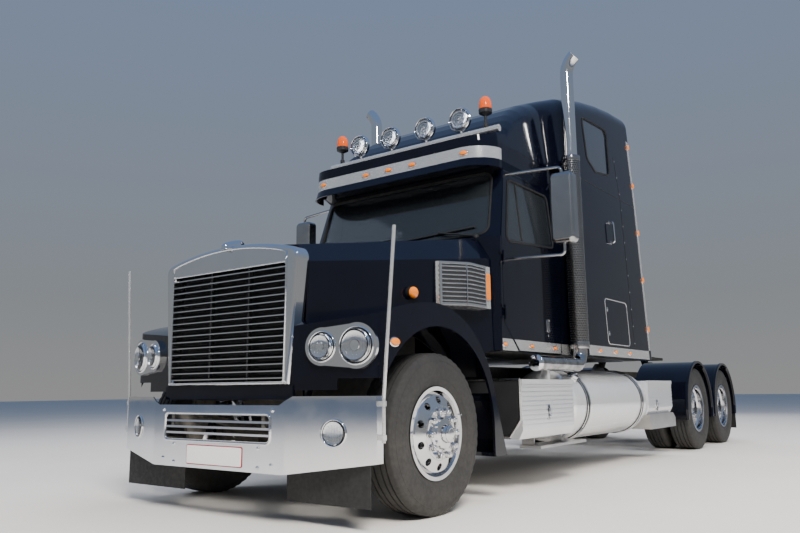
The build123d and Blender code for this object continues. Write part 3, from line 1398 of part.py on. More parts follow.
# Steps: a punched tread under each front box, a plated one under each rear box
tread_wall = 22.0
tread_z = 322.0
tread_y = (front_axle_y + 1420.0, front_axle_y + 2330.0)
tread_in = 1012.0
with BuildPart() as cab_steps:
    for side in (-1, 1):
        with BuildSketch(Plane.XY.offset(tread_z)):
            with Locations((side * (tread_in + box_out) / 2, (tread_y[0] + tread_y[1]) / 2)):
                Rectangle(box_out - tread_in, tread_y[1] - tread_y[0])
        extrude(amount=tread_wall)
        for hanger_y in (tread_y[0] + 60, front_box_y[1] - 90):
            with Locations((side * 1060, hanger_y, (tread_z + tread_wall + box_low) / 2)):
                Box(110, 12, box_low - tread_z - tread_wall)
        with BuildSketch(Plane.YZ.offset(side * (box_out - 230) if side > 0 else -box_out)):
            with BuildLine():
                Polyline((rear_box_y[0], 500), (rear_box_y[1], 500), (rear_box_y[1] + 90, 440),
                         (rear_box_y[1] + 90, 340), (rear_box_y[0] + 60, 340), close=True)
            make_face()
        extrude(amount=230)
cab_steps.part.label = "cab_steps"
export_step(cab_steps.part, "parts/cab_steps.step")

# Rear fenders: half-round shells with a rolled outer lip, on tubes from the frame
fender_radius = 600.0
fender_wall = 8.0
fender_in = 560.0
fender_out = 1240.0
fender_start = -12.0        # degrees above the axle's height, from the front, where the shell begins
fender_sweep = 204.0
tube_reach = 430.0
tube_bite = 4.0             # how far a tube is welded into its shell
with BuildPart() as rear_fenders:
    for side in (-1, 1):
        for axle_y in rear_axles_y:
            start = Vector(0, -cos(radians(fender_start)), sin(radians(fender_start)))
            ring_plane = Plane(origin=(0, axle_y, axle_z), x_dir=(side, 0, 0),
                               z_dir=Vector(side, 0, 0).cross(start))
            with BuildSketch(ring_plane):
                with BuildLine():
                    Polyline((fender_in, fender_radius - fender_wall),
                             (fender_out - 30, fender_radius - fender_wall),
                             (fender_out - 22, fender_radius - 24), (fender_out, fender_radius - 18),
                             (fender_out, fender_radius + 10), (fender_out - 26, fender_radius + 14),
                             (fender_out - 40, fender_radius), (fender_in, fender_radius), close=True)
                make_face()
            revolve(axis=Axis((0, axle_y, axle_z), (1, 0, 0)), revolution_arc=-fender_sweep)
            tube_circle = fender_radius - fender_wall - tube_radius + tube_bite
            for way in (-1, 1):
                tube_y = axle_y + way * tube_reach
                tube_z = axle_z + sqrt(tube_circle ** 2 - tube_reach ** 2)
                with BuildSketch(Plane.YZ.offset(side * rail_out)):
                    with Locations((tube_y, tube_z)):
                        Circle(tube_radius)
                extrude(amount=side * (fender_out - 60 - rail_out))
rear_fenders.part.label = "rear_fenders"
export_step(rear_fenders.part, "parts/rear_fenders.step")

# Rear bar with tail lamps, and the tubes that the rear mudflaps hang from
tail_bar_y = rail_back_y - 30.0
tail_bar_half = 553.0
tail_lamp_x = 498.0
with BuildPart() as rear_bar:
    for side in (-1, 1):
        with BuildSketch(Plane.YZ.offset(side * (rail_out + rest_gap))):
            with Locations((rear_flap_y - flap_wall / 2 - tube_radius - rest_gap, rear_flap_bar_z)):
                Circle(tube_radius)
        extrude(amount=side * (rear_flap_out - rail_out))
    with Locations((0, tail_bar_y, rail_bottom - 40)):
        Box(2 * tail_bar_half, 60, 80)
rear_bar.part.label = "rear_bar"
export_step(rear_bar.part, "parts/rear_bar.step")

with BuildPart() as tail_lamps:
    for side in (-1, 1):
        with BuildSketch(Plane.XZ.offset(-rail_back_y)):
            with Locations((side * tail_lamp_x, rail_bottom - 40)):
                RectangleRounded(190, 90, 20)
        extrude(amount=-(tail_y - rail_back_y))
tail_lamps.part.label = "tail_lamps"
export_step(tail_lamps.part, "parts/tail_lamps.step")

# Fifth wheel: pedestals on the rails, and a plate with its throat that rocks on them
pedestal_wall = 60.0
pedestal_x = 390.0
ear_x = 320.0
plate_ear_wall = 40.0
pivot_radius = 22.0
with BuildPart() as fifth_wheel_base:
    for side in (-1, 1):
        with BuildSketch(Plane.YZ.offset(side * pedestal_x - pedestal_wall / 2)):
            with BuildLine():
                Polyline((bogie_y - 260, rail_top), (bogie_y + 260, rail_top), (bogie_y + 260, rail_top + 20),
                         (bogie_y + 45, plate_pivot_z + 20), (bogie_y - 45, plate_pivot_z + 20),
                         (bogie_y - 260, rail_top + 20), close=True)
            make_face()
        extrude(amount=pedestal_wall)
        with BuildSketch(Plane.YZ.offset(side * 290)):
            with Locations((bogie_y, plate_pivot_z)):
                Circle(pivot_radius)
        extrude(amount=side * (pedestal_x - 290))
fifth_wheel_base.part.label = "fifth_wheel_base"
export_step(fifth_wheel_base.part, "parts/fifth_wheel_base.step")

throat_half = 200.0
with BuildPart() as fifth_wheel_plate:
    with BuildSketch(Plane.XY.offset(plate_top - plate_wall)):
        with Locations((0, bogie_y)):
            Circle(plate_radius)
        with Locations((0, bogie_y + 150)):
            Rectangle(2 * plate_radius - 60, 380, align=(Align.CENTER, Align.MIN))
        with Locations((0, bogie_y)):
            Circle(jaw_radius, mode=Mode.SUBTRACT)
        with Locations((0, bogie_y)):
            Rectangle(2 * jaw_radius, 200, align=(Align.CENTER, Align.MIN), mode=Mode.SUBTRACT)
        with BuildLine():
            Polyline((-jaw_radius, bogie_y + 130), (jaw_radius, bogie_y + 130), (throat_half, bogie_y + 540),
                     (-throat_half, bogie_y + 540), close=True)
        make_face(mode=Mode.SUBTRACT)
    extrude(amount=plate_wall)
    for side in (-1, 1):
        with BuildSketch(Plane.YZ.offset(side * ear_x - plate_ear_wall / 2)):
            with BuildLine():
                Polyline((bogie_y - 120, plate_top - plate_wall), (bogie_y - 40, plate_pivot_z - 40),
                         (bogie_y + 40, plate_pivot_z - 40), (bogie_y + 120, plate_top - plate_wall),
                         close=True)
            make_face()
            with Locations((bogie_y, plate_pivot_z)):
                Circle(pivot_radius + pin_gap, mode=Mode.SUBTRACT)
        extrude(amount=plate_ear_wall)
fifth_wheel_plate.part.label = "fifth_wheel_plate"
export_step(fifth_wheel_plate.part, "parts/fifth_wheel_plate.step")

# Steering knuckles: two ears and a pin round the beam's boss, a spindle and a steering arm
ear_height = 36.0
ear_play = 6.0
knuckle_face_x = 940.0
spindle_end_x = 1190.0
for side, name in ((1, "left"), (-1, "right")):
    with BuildPart() as knuckle:
        reach = boss_height / 2 + ear_play
        for ear_z in (axle_z - reach - ear_height, axle_z + reach):
            with BuildSketch(Plane.XY.offset(ear_z)):
                with Locations((side * kingpin_x, front_axle_y)):
                    Circle(boss_radius - 4)
                    Rectangle(knuckle_face_x - kingpin_x, 80,
                              align=(Align.MIN if side > 0 else Align.MAX, Align.CENTER))
            extrude(amount=ear_height)
        with BuildSketch(Plane.XY.offset(axle_z - reach - 4)):
            with Locations((side * kingpin_x, front_axle_y)):
                Circle(kingpin_radius)
        extrude(amount=2 * reach + 8)
        with BuildSketch(Plane.YZ.offset(side * knuckle_face_x)):
            with Locations((front_axle_y, axle_z)):
                Rectangle(110, 2 * (reach + ear_height))
        extrude(amount=side * 18)
        with BuildSketch(Plane.YZ.offset(side * knuckle_face_x)):
            with Locations((front_axle_y, axle_z)):
                Circle(spindle_radius)
        extrude(amount=side * (spindle_end_x - knuckle_face_x))
        with BuildSketch(Plane.XY.offset(axle_z - reach - ear_height)):
            with BuildLine():
                Polyline((side * (kingpin_x - 34), front_axle_y), (side * (kingpin_x + 34), front_axle_y),
                         (side * (kingpin_x - 50), front_axle_y + 230),
                         (side * (kingpin_x - 90), front_axle_y + 230), close=True)
            make_face()
        extrude(amount=24)
    knuckle.part.label = f"knuckle_{name}"
    export_step(knuckle.part, f"parts/knuckle_{name}.step")


# Wheels. Sections are drawn in x across the truck and z up, then turned about the axle
def tyre_section(middle_x):
    """One tyre's section: bead, bulging side walls, rounded shoulders, flat tread."""
    half = tyre_width / 2
    tread = tread_width / 2
    bead = rim_width / 2 - 14
    seat = axle_z + seat_radius + rest_gap
    with BuildSketch() as section:
        with BuildLine():
            for way in (-1, 1):
                ThreePointArc((middle_x + way * bead, seat + 16), (middle_x + way * half, axle_z + 408),
                              (middle_x + way * (half - 8), axle_z + 470))
                ThreePointArc((middle_x + way * (half - 8), axle_z + 470),
                              (middle_x + way * (half - 14), axle_z + tyre_radius - 16),
                              (middle_x + way * tread, axle_z + tyre_radius))
                Line((middle_x + way * bead, seat + 16), (middle_x + way * bead, seat))
            Line((middle_x - tread, axle_z + tyre_radius), (middle_x + tread, axle_z + tyre_radius))
            Line((middle_x - bead, seat), (middle_x + bead, seat))
        make_face()
    return section.sketch


def rim_section(side, middle_x, disc_x, disc_bow):
    """One rim's section: flanges, bead seats and well, with its disc at disc_x, bowed by disc_bow."""
    half = rim_width / 2
    with BuildSketch() as section:
        with BuildLine():
            outline = [(-half, rim_radius), (-half + 10, rim_radius), (-half + 12, seat_radius),
                       (-half + 58, seat_radius - 2),
                       (-half + 74, seat_radius - 24), (half - 74, seat_radius - 24),
                       (half - 58, seat_radius - 2),
                       (half - 12, seat_radius), (half - 10, rim_radius), (half, rim_radius),
                       (half - 2, seat_radius - rim_wall), (half - 60, seat_radius - rim_wall - 3),
                       (half - 78, seat_radius - 24 - rim_wall), (-half + 78, seat_radius - 24 - rim_wall),
                       (-half + 60, seat_radius - rim_wall - 3), (-half + 2, seat_radius - rim_wall)]
            Polyline(*[(side * (middle_x + x), axle_z + r) for x, r in outline], close=True)
        make_face()
        with BuildLine():
            rim_end = middle_x + (half - 62 if disc_x > middle_x else -half + 62)
            disc = [(disc_x, 0), (disc_x + disc_wall, 0), (disc_x + disc_wall, 158),
                    (disc_x + disc_wall - disc_bow, 245), (rim_end + 14, seat_radius - rim_wall),
                    (rim_end - 14, seat_radius - rim_wall), (disc_x - disc_bow, 240), (disc_x, 158)]
            Polyline(*[(side * x, axle_z + r) for x, r in disc], close=True)
        make_face()
    return section.sketch


steer_disc_x = steer_tyre_x + 128.0
hub_tip_x = 1272.0
drum_radius = 205.0
for side, name in ((1, "left"), (-1, "right")):
    with BuildPart() as tyre:
        with BuildSketch(Plane.XZ.offset(-front_axle_y)):
            add(tyre_section(side * steer_tyre_x))
        revolve(axis=Axis((0, front_axle_y, axle_z), (1, 0, 0)))
    tyre.part.label = f"tyre_front_{name}"
    export_step(tyre.part, f"parts/tyre_front_{name}.step")
    with BuildPart() as rim:
        with BuildSketch(Plane.XZ.offset(-front_axle_y)):
            add(rim_section(side, steer_tyre_x, steer_disc_x, 34.0))
            with BuildLine():
                hub = [(975, 0), (975, drum_radius), (1140, drum_radius), (1140, 120), (1200, 118), (1206, 102),
                       (1222, 94), (1226, 60), (hub_tip_x - 10, 52), (hub_tip_x, 34), (hub_tip_x, 0)]
                Polyline(*[(side * x, axle_z + r) for x, r in hub], close=True)
            make_face()
        revolve(axis=Axis((0, front_axle_y, axle_z), (1, 0, 0)))
        with BuildSketch(Plane.YZ.offset(side * 900)):
            with Locations((front_axle_y, axle_z)):
                with PolarLocations(hand_hole_circle, stud_count, start_angle=18):
                    Circle(hand_hole_radius)
        extrude(amount=side * 400, mode=Mode.SUBTRACT)
        with BuildSketch(Plane.YZ.offset(side * 900)):
            with Locations((front_axle_y, axle_z)):
                Circle(spindle_radius + pin_gap)
        extrude(amount=side * (spindle_end_x + 6 - 900), mode=Mode.SUBTRACT)
        with BuildSketch(Plane.YZ.offset(side * (steer_disc_x + disc_wall))):
            with Locations((front_axle_y, axle_z)):
                with PolarLocations(stud_circle, stud_count):
                    Circle(15)
        extrude(amount=side * 42)
    rim.part.label = f"rim_front_{name}"
    export_step(rim.part, f"parts/rim_front_{name}.step")

dual_disc_x = (dual_out_x + dual_in_x) / 2
hub_rear_tip_x = 1120.0
for axle_name, axle_y in zip(("fore", "aft"), rear_axles_y):
    for side, name in ((1, "left"), (-1, "right")):
        with BuildPart() as tyres:
            with BuildSketch(Plane.XZ.offset(-axle_y)):
                add(tyre_section(side * dual_out_x))
                add(tyre_section(side * dual_in_x))
            revolve(axis=Axis((0, axle_y, axle_z), (1, 0, 0)))
        tyres.part.label = f"tyres_{axle_name}_{name}"
        export_step(tyres.part, f"parts/tyres_{axle_name}_{name}.step")
        with BuildPart() as rims:
            with BuildSketch(Plane.XZ.offset(-axle_y)):
                add(rim_section(side, dual_out_x, dual_disc_x, -20.0))
                add(rim_section(side, dual_in_x, dual_disc_x - disc_wall, 20.0))
                with BuildLine():
                    hub = [(645, 0), (645, drum_radius), (dual_disc_x - 40, drum_radius),
                           (dual_disc_x - 40, 118),
                           (dual_disc_x + 120, 112), (dual_disc_x + 130, 92), (hub_rear_tip_x - 20, 84),
                           (hub_rear_tip_x, 60), (hub_rear_tip_x, 0)]
                    Polyline(*[(side * x, axle_z + r) for x, r in hub], close=True)
                make_face()
            revolve(axis=Axis((0, axle_y, axle_z), (1, 0, 0)))
            with BuildSketch(Plane.YZ.offset(side * (dual_disc_x - 80))):
                with Locations((axle_y, axle_z)):
                    with PolarLocations(hand_hole_circle + 6, stud_count, start_angle=18):
                        Circle(hand_hole_radius)
            extrude(amount=side * 160, mode=Mode.SUBTRACT)
            with BuildSketch(Plane.YZ.offset(side * 600)):
                with Locations((axle_y, axle_z)):
                    Circle(stub_radius + pin_gap)
            extrude(amount=side * (stub_end_x + 6 - 600), mode=Mode.SUBTRACT)
            with BuildSketch(Plane.YZ.offset(side * (dual_disc_x + disc_wall))):
                with Locations((axle_y, axle_z)):
                    with PolarLocations(stud_circle, stud_count):
                        Circle(15)
            extrude(amount=side * 42)
        rims.part.label = f"rims_{axle_name}_{name}"
        export_step(rims.part, f"parts/rims_{axle_name}_{name}.step")

# Cab inside: dashboard with steering column and wheel, and two seats on pedestals
cabin_floor = floor_z + cab_wall
dash_front_y = cab_front_y + cab_wall + rest_gap
dash_half = cab_half - 202.0            # ends beside the doors' inner corners, which swing past
dash_gap = 8.0              # behind the cab's front wall
driver_x = 480.0
wheel_centre = Vector(driver_x, front_axle_y + 1560, 1960)
wheel_tilt = Vector(0, -0.72, -0.70)
with BuildPart() as dashboard:
    with BuildSketch(Plane.YZ.offset(-dash_half)):
        with BuildLine():
            Polyline((dash_front_y, cabin_floor), (dash_front_y, 1985), (dash_front_y + 150, 2000),
                     (dash_front_y + 300, 1930), (dash_front_y + 290, 1650), (dash_front_y + 120, 1560),
                     (dash_front_y + 90, cabin_floor), close=True)
        make_face()
    extrude(amount=2 * dash_half)
    add(cab_inner.moved(Location((0, dash_gap, 0))), mode=Mode.INTERSECT)
    with BuildSketch(Plane(origin=wheel_centre, z_dir=wheel_tilt)):
        Circle(24)
    extrude(amount=240)
    with BuildSketch(Plane(origin=wheel_centre, z_dir=wheel_tilt)):
        Circle(232)
        Circle(204, mode=Mode.SUBTRACT)
        Rectangle(420, 26)
    extrude(amount=22)
dashboard.part.label = "dashboard"
export_step(dashboard.part, "parts/dashboard.step")

seat_y = front_axle_y + 1960.0
with BuildPart() as seats:
    for side in (-1, 1):
        with BuildSketch(Plane.YZ.offset(side * driver_x - 255)):
            with BuildLine():
                Polyline((seat_y - 230, cabin_floor + 420), (seat_y + 240, cabin_floor + 400),
                         (seat_y + 330, cabin_floor + 1130), (seat_y + 230, cabin_floor + 1150),
                         (seat_y + 130, cabin_floor + 560), (seat_y - 240, cabin_floor + 560), close=True)
            make_face()
        extrude(amount=510)
        with Locations((side * driver_x, seat_y, cabin_floor + 205)):
            Box(300, 300, 410)
seats.part.label = "seats"
export_step(seats.part, "parts/seats.step")
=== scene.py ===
# Long-nose road tractor: finishes, lamps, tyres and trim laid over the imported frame.
# Metres, +Y from the bumper to the tail, +X to the truck's left, +Z up.
import math

import bmesh
import bpy
from mathutils import Matrix, Vector
from mathutils.bvhtree import BVHTree


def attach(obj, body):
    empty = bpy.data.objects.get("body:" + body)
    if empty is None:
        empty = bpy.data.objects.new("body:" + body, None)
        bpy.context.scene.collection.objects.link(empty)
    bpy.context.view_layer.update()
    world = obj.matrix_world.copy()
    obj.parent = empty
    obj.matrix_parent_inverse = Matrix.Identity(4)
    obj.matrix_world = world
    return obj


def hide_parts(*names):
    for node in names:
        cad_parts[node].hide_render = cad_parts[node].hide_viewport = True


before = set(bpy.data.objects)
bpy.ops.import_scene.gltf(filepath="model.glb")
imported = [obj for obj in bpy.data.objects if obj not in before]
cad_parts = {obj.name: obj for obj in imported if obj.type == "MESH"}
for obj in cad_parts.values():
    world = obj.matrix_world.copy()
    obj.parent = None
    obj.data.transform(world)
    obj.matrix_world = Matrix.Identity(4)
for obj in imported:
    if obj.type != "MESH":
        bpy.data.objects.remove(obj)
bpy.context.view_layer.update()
print("frame loaded")

# Places that many pieces share
truck = dict(frontAxle=-3.600, rearAxles=(2.4755, 3.7925), axleHeight=0.518, nose=-4.460, roofFoot=2.86)
sides = (1, -1)
namedSides = ((1, "left"), (-1, "right"))
ahead = Vector((0, -1, 0))

# Materials
def linkNoise(tree, scale, stretch, detail, rough=0.6):
    coords = tree.nodes.new("ShaderNodeTexCoord")
    mapping = tree.nodes.new("ShaderNodeMapping")
    mapping.inputs["Scale"].default_value = stretch
    noise = tree.nodes.new("ShaderNodeTexNoise")
    noise.inputs["Scale"].default_value = scale
    noise.inputs["Detail"].default_value = detail
    noise.inputs["Roughness"].default_value = rough
    tree.links.new(coords.outputs["Object"], mapping.inputs["Vector"])
    tree.links.new(mapping.outputs["Vector"], noise.inputs["Vector"])
    return noise.outputs["Fac"]


def linkRange(tree, source, low, high, fromLow=0.3, fromHigh=0.7):
    spread = tree.nodes.new("ShaderNodeMapRange")
    spread.inputs["From Min"].default_value = fromLow
    spread.inputs["From Max"].default_value = fromHigh
    spread.inputs["To Min"].default_value = low
    spread.inputs["To Max"].default_value = high
    tree.links.new(source, spread.inputs["Value"])
    return spread.outputs["Result"]


def linkMix(tree, factor, first, second):
    mix = tree.nodes.new("ShaderNodeMix")
    mix.data_type = "RGBA"
    for socket, value in (("A_Color", first), ("B_Color", second)):
        target = next(s for s in mix.inputs if s.identifier == socket)
        if isinstance(value, tuple):
            target.default_value = (*value, 1)
        else:
            tree.links.new(value, target)
    tree.links.new(factor, next(s for s in mix.inputs if s.identifier == "Factor_Float"))
    return next(s for s in mix.outputs if s.identifier == "Result_Color")


shaderSockets = [       # socket, its key in a look, usual value
    ("Metallic", "metallic", 0.0), ("Specular IOR Level", "specular", 0.5), ("Coat Weight", "coat", 0.0),
    ("Coat Roughness", "coatRoughness", 0.03), ("Transmission Weight", "transmission", 0.0),
    ("IOR", "ior", 1.5), ("Sheen Weight", "sheen", 0.0), ("Emission Strength", "glowStrength", 0.0),
]


def makeMaterial(look):
    material = bpy.data.materials.new(look["name"])
    material.use_nodes = True
    tree = material.node_tree
    shader = tree.nodes["Principled BSDF"]
    for socket, key, usual in shaderSockets:
        shader.inputs[socket].default_value = look.get(key, usual)
    shader.inputs["Emission Color"].default_value = (*look.get("glow", (0, 0, 0)), 1)
    blotch = linkNoise(tree, look.get("blotchScale", 3.0), (1, 1, 1), 5)
    colour = linkMix(tree, linkRange(tree, blotch, 0.0, 1.0), look["colour"],
                     look.get("colour2", look["colour"]))
    if "dustAndShade" in look:                                   # road dust that thins out upwards, and on the exhaust chrome a dark brown painted shade low down
        coords = tree.nodes.new("ShaderNodeTexCoord")
        split = tree.nodes.new("ShaderNodeSeparateXYZ")
        tree.links.new(coords.outputs["Object"], split.inputs["Vector"])
        height = linkRange(tree, split.outputs["Z"], look["dustAndShadeMost"], 0.0, 0.1, look["dustAndShadeTop"])
        speck = linkRange(tree, linkNoise(tree, 14.0, (1, 1, 1), 8), 0.35, 1.0)
        amount = tree.nodes.new("ShaderNodeMath")
        amount.operation = "MULTIPLY"
        tree.links.new(height, amount.inputs[0])
        tree.links.new(speck, amount.inputs[1])
        colour = linkMix(tree, amount.outputs["Value"], colour, look["dustAndShade"])
    tree.links.new(colour, shader.inputs["Base Color"])
    grain = linkNoise(tree, look.get("grainScale", 60.0), look.get("stretch", (1, 1, 1)),
                      look.get("grainDetail", 4))
    low, high = look["roughness"]
    tree.links.new(linkRange(tree, grain, low, high), shader.inputs["Roughness"])
    if look.get("bump", 0):
        bump = tree.nodes.new("ShaderNodeBump")
        bump.inputs["Strength"].default_value = look["bump"]
        bump.inputs["Distance"].default_value = look.get("bumpDepth", 0.001)
        if "bumpScale" in look:
            relief = linkNoise(tree, look["bumpScale"], look.get("stretch", (1, 1, 1)), 3)
        else:
            relief = grain
        tree.links.new(relief, bump.inputs["Height"])
        tree.links.new(bump.outputs["Normal"], shader.inputs["Normal"])
    return material


dustAndShade = (0.30, 0.27, 0.22)
looks = dict(
    paint=dict(name="blackGlossPaint", colour=(0.0015, 0.0018, 0.0045), colour2=(0.002, 0.0026, 0.007),
               roughness=(0.04, 0.09), coat=0.12, specular=0.32, grainScale=9.0, bump=0.04, bumpScale=260.0,
               bumpDepth=0.0004,
               dustAndShade=dustAndShade, dustAndShadeMost=0.015, dustAndShadeTop=1.0),
    frame=dict(name="chassisBlack", colour=(0.012, 0.012, 0.013), colour2=(0.022, 0.020, 0.018),
               roughness=(0.35, 0.6),
               grainScale=18.0, bump=0.25, bumpScale=90.0, dustAndShade=dustAndShade, dustAndShadeMost=0.55, dustAndShadeTop=1.3),
    cast=dict(name="castIron", colour=(0.020, 0.019, 0.018), colour2=(0.045, 0.038, 0.030),
              roughness=(0.55, 0.85),
              grainScale=30.0, bump=0.5, bumpScale=160.0, dustAndShade=dustAndShade, dustAndShadeMost=0.6, dustAndShadeTop=1.0),
    chrome=dict(name="polishedChrome", colour=(0.78, 0.79, 0.80), colour2=(0.84, 0.84, 0.85), metallic=1.0,
                roughness=(0.03, 0.09), grainScale=7.0, bump=0.03, bumpScale=5.0, bumpDepth=0.002),
    # the exhaust's dark brown band low down is painted shade on its elbow and duct, strongest at the bottom and
    # fading out by 1.35 m
    stackChrome=dict(name="exhaustChromeWithPaintedShade", colour=(0.76, 0.76, 0.76), colour2=(0.84, 0.83, 0.81), metallic=1.0,
                     roughness=(0.05, 0.14), grainScale=9.0, bump=0.04, bumpScale=6.0, bumpDepth=0.002,
                     dustAndShade=(0.050, 0.042, 0.036), dustAndShadeMost=2.6, dustAndShadeTop=1.35),
    stainless=dict(name="brushedStainless", colour=(0.66, 0.66, 0.66),
                   colour2=(0.76, 0.75, 0.73), metallic=0.8,
                   roughness=(0.14, 0.26), grainScale=40.0, stretch=(1, 1, 12), bump=0.06, bumpScale=60.0,
                   bumpDepth=0.0005),
    steel=dict(name="darkSteel", colour=(0.38, 0.38, 0.38), colour2=(0.50, 0.49, 0.48), metallic=1.0,
               roughness=(0.12, 0.26), grainScale=40.0, stretch=(1, 1, 12), bump=0.06, bumpScale=60.0,
               bumpDepth=0.0005),
    aluminium=dict(name="brightAluminium", colour=(0.84, 0.85, 0.86),
                   colour2=(0.90, 0.90, 0.90), metallic=0.65,
                   roughness=(0.12, 0.24), grainScale=24.0, stretch=(1, 20, 1), bump=0.08, bumpScale=50.0,
                   bumpDepth=0.0005, dustAndShade=dustAndShade, dustAndShadeMost=0.12, dustAndShadeTop=0.8),
    rim=dict(name="polishedWheel", colour=(0.80, 0.80, 0.81), colour2=(0.88, 0.88, 0.88), metallic=1.0,
             roughness=(0.06, 0.16), grainScale=16.0, bump=0.05, bumpScale=30.0, bumpDepth=0.0006,
             dustAndShade=dustAndShade, dustAndShadeMost=0.15, dustAndShadeTop=1.1),
    tread=dict(name="treadPlate", colour=(0.45, 0.45, 0.46), colour2=(0.58, 0.57, 0.55), metallic=1.0,
               roughness=(0.25, 0.42), grainScale=40.0, bump=0.2, bumpScale=120.0),
    tyre=dict(name="tyreRubber", colour=(0.016, 0.016, 0.017), colour2=(0.027, 0.026, 0.025),
              roughness=(0.62, 0.85),
              grainScale=40.0, bump=0.35, bumpScale=220.0, bumpDepth=0.0008, dustAndShade=dustAndShade,
              dustAndShadeMost=0.09, dustAndShadeTop=1.15),
    rubber=dict(name="blackRubber", colour=(0.007, 0.007, 0.007), colour2=(0.012, 0.012, 0.012),
                roughness=(0.5, 0.75),
                grainScale=40.0, bump=0.25, bumpScale=180.0, dustAndShade=dustAndShade, dustAndShadeMost=0.03, dustAndShadeTop=0.8),
    glass=dict(name="tintedGlass", colour=(0.10, 0.12, 0.14), colour2=(0.11, 0.13, 0.15),
               roughness=(0.01, 0.03),
               transmission=0.9, ior=1.45, grainScale=3.0, coat=0.3),
    darkGlass=dict(name="darkGlass", colour=(0.006, 0.008, 0.012), colour2=(0.008, 0.010, 0.016),
                   roughness=(0.02, 0.05),
                   coat=1.0, grainScale=3.0),
    lens=dict(name="clearLens", colour=(0.95, 0.96, 0.97), roughness=(0.02, 0.06), transmission=1.0, ior=1.45,
              grainScale=10.0),
    reflector=dict(name="lampReflector", colour=(0.86, 0.87, 0.88), metallic=1.0, roughness=(0.05, 0.12),
                   grainScale=20.0),
    amber=dict(name="amberLens", colour=(0.62, 0.14, 0.004), colour2=(0.72, 0.20, 0.008),
               roughness=(0.08, 0.16),
               coat=0.6, grainScale=30.0, glow=(1.0, 0.26, 0.01), glowStrength=0.08),
    beacon=dict(name="beaconLens", colour=(0.50, 0.060, 0.003), colour2=(0.60, 0.09, 0.005),
                roughness=(0.08, 0.16),
                coat=0.6, grainScale=30.0, glow=(1.0, 0.12, 0.01), glowStrength=0.08),
    red=dict(name="redLens", colour=(0.42, 0.008, 0.008), colour2=(0.55, 0.02, 0.02), roughness=(0.08, 0.16),
             coat=0.6, grainScale=30.0),
    plastic=dict(name="blackPlastic", colour=(0.012, 0.012, 0.013), colour2=(0.02, 0.02, 0.021),
                 roughness=(0.38, 0.55),
                 grainScale=90.0, bump=0.15, bumpScale=300.0, bumpDepth=0.0004),
    trim=dict(name="cabTrim", colour=(0.055, 0.055, 0.06), colour2=(0.075, 0.075, 0.08), roughness=(0.5, 0.7),
              grainScale=70.0, bump=0.3, bumpScale=400.0, bumpDepth=0.0005),
    cloth=dict(name="seatCloth", colour=(0.05, 0.052, 0.06), colour2=(0.08, 0.08, 0.095),
               roughness=(0.8, 0.95),
               sheen=0.4, grainScale=200.0, bump=0.5, bumpScale=900.0, bumpDepth=0.0006),
    plate=dict(name="blankPlate", colour=(0.78, 0.77, 0.74), colour2=(0.84, 0.83, 0.80),
               roughness=(0.3, 0.45),
               grainScale=50.0),
    plateRim=dict(name="plateRim", colour=(0.30, 0.02, 0.03), roughness=(0.35, 0.5), grainScale=40.0),
    core=dict(name="coolerCore", colour=(0.02, 0.02, 0.021), colour2=(0.05, 0.05, 0.05), metallic=0.6,
              roughness=(0.4, 0.6), grainScale=40.0, stretch=(8, 1, 1), bump=0.6, bumpScale=90.0),
)
materials = {key: makeMaterial(look) for key, look in looks.items()}
print("materials made:", len(materials))


# Mesh helpers
def circle(steps):
    # cosine and sine of evenly spread angles
    turns = [2 * math.pi * k / steps for k in range(steps)]
    return [(math.cos(turn), math.sin(turn)) for turn in turns]


def bandFaces(rows, steps, closed=False):
    # quads between rings of points that follow each other
    faces = []
    for row in range(rows if closed else rows - 1):
        first, second = row * steps, (row + 1) % rows * steps
        for k in range(steps):
            n = (k + 1) % steps
            faces.append((first + k, first + n, second + n, second + k))
    return faces


def corners(a, b, c, d):
    # the four corners of a rectangle between two opposite ones
    return [(a, b), (c, b), (c, d), (a, d)]


